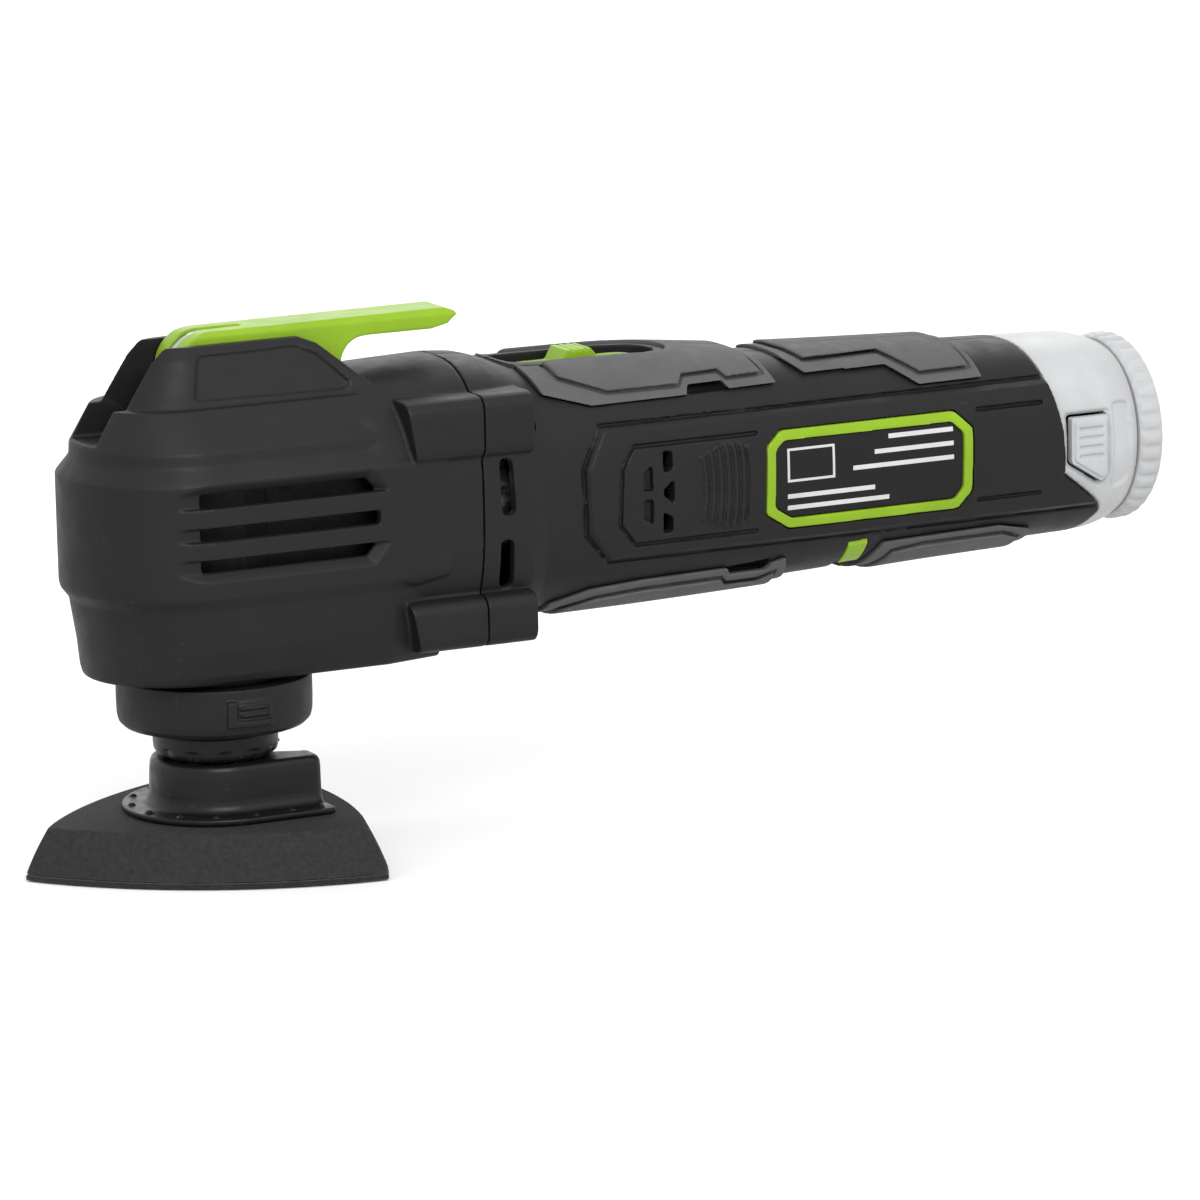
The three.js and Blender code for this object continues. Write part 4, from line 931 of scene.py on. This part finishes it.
def pad_bracket():
    """Pressed steel bracket: flange, fillet, straight wall and a rounded rim round a flat top."""
    z0 = box_mm("pad_bracket")[0].z
    top = BRACKET_TOP
    base = loft([d_plan(r, rear, z, 1.2) for r, rear, z in
                 [(22.3, 20.7, z0), (22.5, 20.9, z0 + 0.2), (22.5, 20.9, z0 + 1.2), (22.3, 20.7, z0 + 1.4)]])
    profile = [(18.0, 20.7, z0 + 1.2), (17.2, 20.7, z0 + 1.6), (16.6, 20.7, z0 + 2.2), (16.2, 20.7, z0 + 3.0),
               (16.0, 20.7, z0 + 4.2), (15.8, 20.7, top - 3), (15.6, 20.6, top - 1.3), (15.2, 20.2, top - 0.5),
               (14.6, 19.6, top - 0.1), (13.6, 18.6, top), (12.9, 18.0, top - 0.15)]
    boss_shape = loft([d_plan(*row) for row in profile])
    shell = join(base, boss_shape)
    hollow = [(14.2, 30, z0 - 1), (14.2, 30, top - 3.4), (12.6, 30, top - 1.5)]
    shell = cut(shell, loft([d_plan(*row) for row in hollow]))
    shell = cut(shell, block(0, 40, -5, 5, 20, 40), turned_z([(5, 20), (5, 40)], 48))
    # The slot opens wider at the rear, to lead the pad onto the clamp bolt.
    shell = cut(shell, prism_z([(11, -5), (25, -11), (25, 11), (11, 5)], 20, 40))
    for i in range(8):
        angle = (i + 0.5) / 8 * 2 * math.pi
        x, y = 11.2 * math.cos(angle), 11.2 * math.sin(angle)
        shell = cut(shell, turned_z([(1.6, 20), (1.6, 40)], 20, x, y))
    bumps = [(-8.8, 18.6), (-16.2, 12.4), (-20.2, 4), (-20, -5.6), (-15.2, -13.6), (-8.4, -18.7), (1, -20.4),
             (10, -20.4), (17.6, -20.4), (1, 20.4), (10, 20.4), (17.6, 20.4)]
    for x, y in bumps:
        shell = join(shell, turned_z([(0.9, z0 + 1), (0.85, z0 + 1.8), (0.45, z0 + 2.15)], 16, x, y))
    finished(moulded(shell, 0.26, 1, 0.55), "bracket_pressing", "spindle_set", "painted", ["pad_bracket"])


def tool_flange():
    """Spindle flange with a scalloped lower edge and locating pins."""
    low, high = box_mm("tool_flange")
    radius = 14.8
    outline = []
    lobes = 12
    for i in range(lobes * 10):
        angle = 2 * math.pi * i / (lobes * 10)
        reach = radius - 0.5 + 0.5 * abs(math.cos(angle * lobes / 2))
        outline.append((reach * math.cos(angle), reach * math.sin(angle)))
    skirt = loft([[(x * s, y * s, z) for x, y in outline] for s, z in
                  [(0.93, 25.3), (0.98, 26.0), (1, 27.0), (1, 28.2)]])
    body = join(skirt, turned_z([(14.8, 28), (14.8, 30.8), (14.3, 31.5), (12.4, 31.8), (12.4, high.z)]))
    for i in range(8):
        angle = (i + 0.5) / 8 * 2 * math.pi
        body = join(body, turned_z([(0.9, low.z), (1.2, low.z + 0.4), (1.2, 27)], 20, 11.2 * math.cos(angle),
                                   11.2 * math.sin(angle)))
    body = cut(body, turned_z([(7.5, 27.2), (7.5, 40)]), turned_z([(4.6, 20), (4.6, 30)]))
    finished(moulded(body, 0.3, 2, 0.6), "spindle_flange", "spindle_set", "painted", ["tool_flange"])


def clamp_bolt():
    """Clamp bolt with a hexagon socket in its head."""
    low, high = box_mm("clamp_bolt")
    head = turned_z([(7.6, low.z), (8.7, low.z + 0.5), (9, low.z + 1.2), (9, 23.1), (4, 23.1), (4, high.z - 0.4),
                     (3.6, high.z)])
    head = cut(head, prism_z(circle(3.4, 6), low.z - 1, low.z + 2))
    finished(bevelled(head, 0.15), "clamp_screw", "clamp", "turned_steel", ["clamp_bolt"])


# ---- battery
# x, half width, bottom, top, squareness
BATTERY = [
    (209, 23.9, 55.1, 104.9, 2.4),
    (226, 23.9, 55.3, 104.5, 2.4),
    (231, 23.8, 55.5, 104.3, 2.3),
    (236, 23.2, 56.4, 103.2, 2.2),
    (CAP_LOW.x - GAP, 21.6, 58.2, 101.4, 2.1),
]


def latch_outline(grow):
    return grown([(219.6, 87.4), (230, 87.4), (230, 72.4), (228, 71), (219.6, 76.2)], grow)


def battery_case():
    outline = [(226.8, 40), (227.8, 56.6), (231.0, 62.4), (229.8, 64.9), (217.9, 73.9), (218.1, 78),
               (217.5, 85), (216.1, 92), (214.2, 100), (212.2, 108), (209.6, 120), (260, 120), (260, 40)]
    body = common(body_loft(BATTERY), prism_y(outline, -45, 45))
    stick = box_mm("battery_case")[0].x
    body = join(body, turned_x([(20.4, stick), (21.2, stick + 0.8), (21.2, 232)], 128, 0, STICK_Z))
    body = cut(body, turned_x([(20, stick + 2), (20, 238.4)], 96, 0, STICK_Z),
               turned_x([(9, 230), (9, 260)], 64, 0, STICK_Z))
    for side in (-1, 1):
        body = cut(body, block(stick - 1, stick + 3, side * 8 - 2, side * 8 + 2, 74, 86))
        frame_tool = on_side(rounded(latch_outline(1.3), 0.8), side, 18)
        body = cut(body, cut(frame_tool, body_loft(BATTERY, -0.7)))
        body = cut(body, on_side(rounded(latch_outline(0.4), 0.6), side, 13))
        scoop = on_side(rounded([(232, 90), (237.6, 90), (237.6, 70), (232, 68)], 2), side, 18)
        body = cut(body, cut(scoop, body_loft(BATTERY, -0.8)))
    finished(moulded(body, 0.42), "battery_body", "battery", "battery",
             ["battery_case"])


def battery_cap():
    """End ring with rounded grip teeth, a step, and a plain dished end."""
    radius = CAP_HIGH.z - STICK_Z
    teeth = 36
    steps = 12
    rings = []
    for s, depth, x in [(0.95, 0.0, CAP_LOW.x), (0.985, 0.5, CAP_LOW.x + 0.8), (1, 1, CAP_LOW.x + 1.8),
                        (1, 1, CAP_HIGH.x - 3.4), (0.985, 0.6, CAP_HIGH.x - 2.2), (0.955, 0.1, CAP_HIGH.x - 1.4)]:
        ring = []
        for i in range(teeth * steps):
            angle = 2 * math.pi * i / (teeth * steps)
            reach = radius * s - 0.7 * depth * (0.5 - 0.5 * math.cos(angle * teeth)) ** 2
            ring.append((x, reach * math.cos(angle), STICK_Z + reach * math.sin(angle)))
        rings.append(ring)
    cap = loft(rings)
    end = CAP_HIGH.x
    cap = join(cap, turned_x([(21.4, end - 2), (21.1, end - 1), (20.2, end - 0.3), (19, end)], 128, 0, STICK_Z))
    cap = cut(cap, turned_x([(17.4, end - 0.7), (18, end + 0.4)], 128, 0, STICK_Z))
    finished(bevelled(cap, 0.2, 2, 40), "battery_end_ring", "battery", "battery",
             ["battery_end_cap"])


def latch_button(side):
    face = 25.2
    plate = on_side(rounded(latch_outline(0), 0.6), side, face - 2.9, face - 0.7)
    raised = on_side(rounded(latch_outline(-0.8), 0.6), side, face - 2, face)
    button = join(plate, raised)
    for i in range(4):
        z = 77.2 + i * 2.3
        groove = on_side([(221.4, z), (228.4, z), (228.4, z + 0.8), (221.4, z + 0.8)], side, face - 0.6, face + 1)
        button = cut(button, groove)
    label = side_name(side)
    finished(moulded(button, 0.26, 2, 0.6), f"latch_{label}_key", f"latch_{label}", "battery",
             [f"latch_button_{label}"])


# ---- screws
def star_recess(radius, depth_from, depth_to, place):
    """Six-lobed driver recess, cut along Y or X by place."""
    outline = []
    for i in range(48):
        angle = 2 * math.pi * i / 48
        reach = radius * (0.84 + 0.16 * math.cos(6 * angle))
        outline.append((reach * math.cos(angle), reach * math.sin(angle)))
    return place(outline, depth_from, depth_to)


def shell_screws():
    for i, (x, z) in enumerate(SHELL_SCREWS):
        name = f"shell_screw_{i + 1}"
        low, high = box_mm(name)
        piece = turned_y([(1.3, low.y), (1.3, high.y - 1), (2.7, high.y - 0.9), (2.6, high.y - 0.3),
                          (2.2, high.y)], 40, x, z)

        def place(outline, y0, y1, x=x, z=z):
            return prism_y([(x + u, z + v) for u, v in outline], y0, y1)
        piece = cut(piece, star_recess(1.5, high.y - 0.7, high.y + 1, place))
        finished(piece, f"{name}_lobed", "tool_body", "zinc", [name])


def head_screws():
    for i in range(4):
        name = f"head_screw_{i + 1}"
        low, high = box_mm(name)
        y = (low.y + high.y) / 2
        z = (low.z + high.z) / 2
        piece = turned_x([(1.6, low.x), (1.6, high.x - 2.8), (3.1, high.x - 2.7), (3.0, high.x - 0.6),
                          (2.4, high.x)], 40, y, z)

        def place(outline, x0, x1, y=y, z=z):
            return prism_x([(y + u, z + v) for u, v in outline], x0, x1)
        piece = cut(piece, star_recess(1.7, high.x - 1.2, high.x + 1, place))
        finished(piece, f"{name}_lobed", "tool_body", "zinc", [name])


# ---- clamp spring
SPRING_DISCS = 8


def disc_spring_stack():
    """Cupped washers facing each other in turn."""
    name = "clamp_spring"
    low, high = box_mm(name)
    pitch = (high.z - low.z) / SPRING_DISCS
    thick = 0.55 * pitch
    stack = None
    for i in range(SPRING_DISCS):
        base = low.z + i * pitch + 0.02
        rise = pitch - thick - 0.04
        inside, outside = (base, base + rise) if i % 2 == 0 else (base + rise, base)
        disc = turned_z([(4.2, inside), (8.4, outside), (8.4, outside + thick), (4.2, inside + thick)], 64)
        stack = disc if stack is None else join(stack, disc)
    stack = cut(stack, turned_z([(4.7, low.z - 5), (4.7, high.z + 5)], 64))
    finished(stack, "disc_spring_stack", "clamp", "steel", [name])
    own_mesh(stack)


# ---- CAD nodes that stay
KEPT = {
    "gear_case": "die_cast", "gear_case_cover": "die_cast", "lower_bearing": "steel",
    "upper_bearing": "steel", "shaft_bearing": "steel", "motor_can": "steel", "motor_end_cap": "inner_black",
    "lever_pin": "steel", "switch_module": "module", "control_board": "board",
    "dial_potentiometer": "module", "terminal_block": "module", "motor_shaft": "turned_steel",
    "armature": "copper", "fan": "inner_black", "eccentric": "turned_steel", "eccentric_bearing": "steel",
    "spindle": "turned_steel", "fork": "die_cast", "thrust_plate": "steel",
    "battery_cell_1": "cell", "battery_cell_2": "cell", "battery_cell_3": "cell", "battery_board": "board",
}


def dress_kept_nodes():
    for name, material in KEPT.items():
        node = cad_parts[name]
        node.data.materials.clear()
        node.data.materials.append(MATERIALS[material])


# ---- stage
def area_light(name, place, target, size, power):
    data = bpy.data.lights.new(name, "AREA")
    data.shape = "RECTANGLE"
    data.size = size[0]
    data.size_y = size[1]
    data.energy = power
    lamp = bpy.data.objects.new(name, data)
    lamp.location = place
    lamp.rotation_euler = (Vector(target) - Vector(place)).to_track_quat("-Z", "Y").to_euler()
    bpy.context.scene.collection.objects.link(lamp)


def stage():
    scene = bpy.context.scene
    scene.view_settings.view_transform = "Standard"
    world = bpy.data.worlds.new("studio")
    scene.world = world
    world.use_nodes = True
    world.node_tree.nodes["Background"].inputs["Color"].default_value = (1, 1, 1, 1)
    world.node_tree.nodes["Background"].inputs["Strength"].default_value = 1.55
    floor = loft([[(x, y, z) for x, y in ((-4, -4), (4, -4), (4, 4), (-4, 4))] for z in (-0.02, -0.0004)])
    floor.name = "floor"
    paper = Surface("floor_paper", (0.66, 0.66, 0.66), 0.9).mottle(60, 0.01).grain(2, 0.02)
    floor.data.materials.append(paper.material)
    middle = (0.09, 0, 0.08)
    area_light("key", (-0.15, -0.95, 0.75), (0, 0, 0.09), (0.7, 0.5), 11)
    area_light("rim", (0.5, 0.8, 0.7), middle, (0.8, 0.4), 3)


def make_camera():
    """Long lens at the picture's viewing angle."""
    data = bpy.data.cameras.new("camera")
    data.sensor_width = 36
    data.lens = 210.008
    data.clip_start = 0.05
    data.clip_end = 20
    camera = bpy.data.objects.new("camera", data)
    forward = Vector((0.43772, 0.87612, -0.20204)).normalized()
    right = Vector((0.89284, -0.45005, -0.01723))
    right = (right - forward * right.dot(forward)).normalized()
    up = right.cross(forward)
    turn = Matrix((right, up, -forward)).transposed().to_4x4()
    camera.matrix_world = Matrix.Translation(Vector((-637.71, -1480.40, 391.86)) * MM) @ turn
    bpy.context.scene.collection.objects.link(camera)
    bpy.context.scene.camera = camera


make_camera()
stage()
head_housing()
nose_collar()
for shell_side in (-1, 1):
    handle_shell(shell_side)
    for grip_name in GRIPS:
        grip_pad(grip_name, shell_side)
    latch_button(shell_side)
label_pieces()
lever()
slide_switch()
speed_dial()
dial_window_ends()
sanding_pad()
pad_bracket()
tool_flange()
clamp_bolt()
disc_spring_stack()
battery_case()
battery_cap()
shell_screws()
head_screws()
dress_kept_nodes()
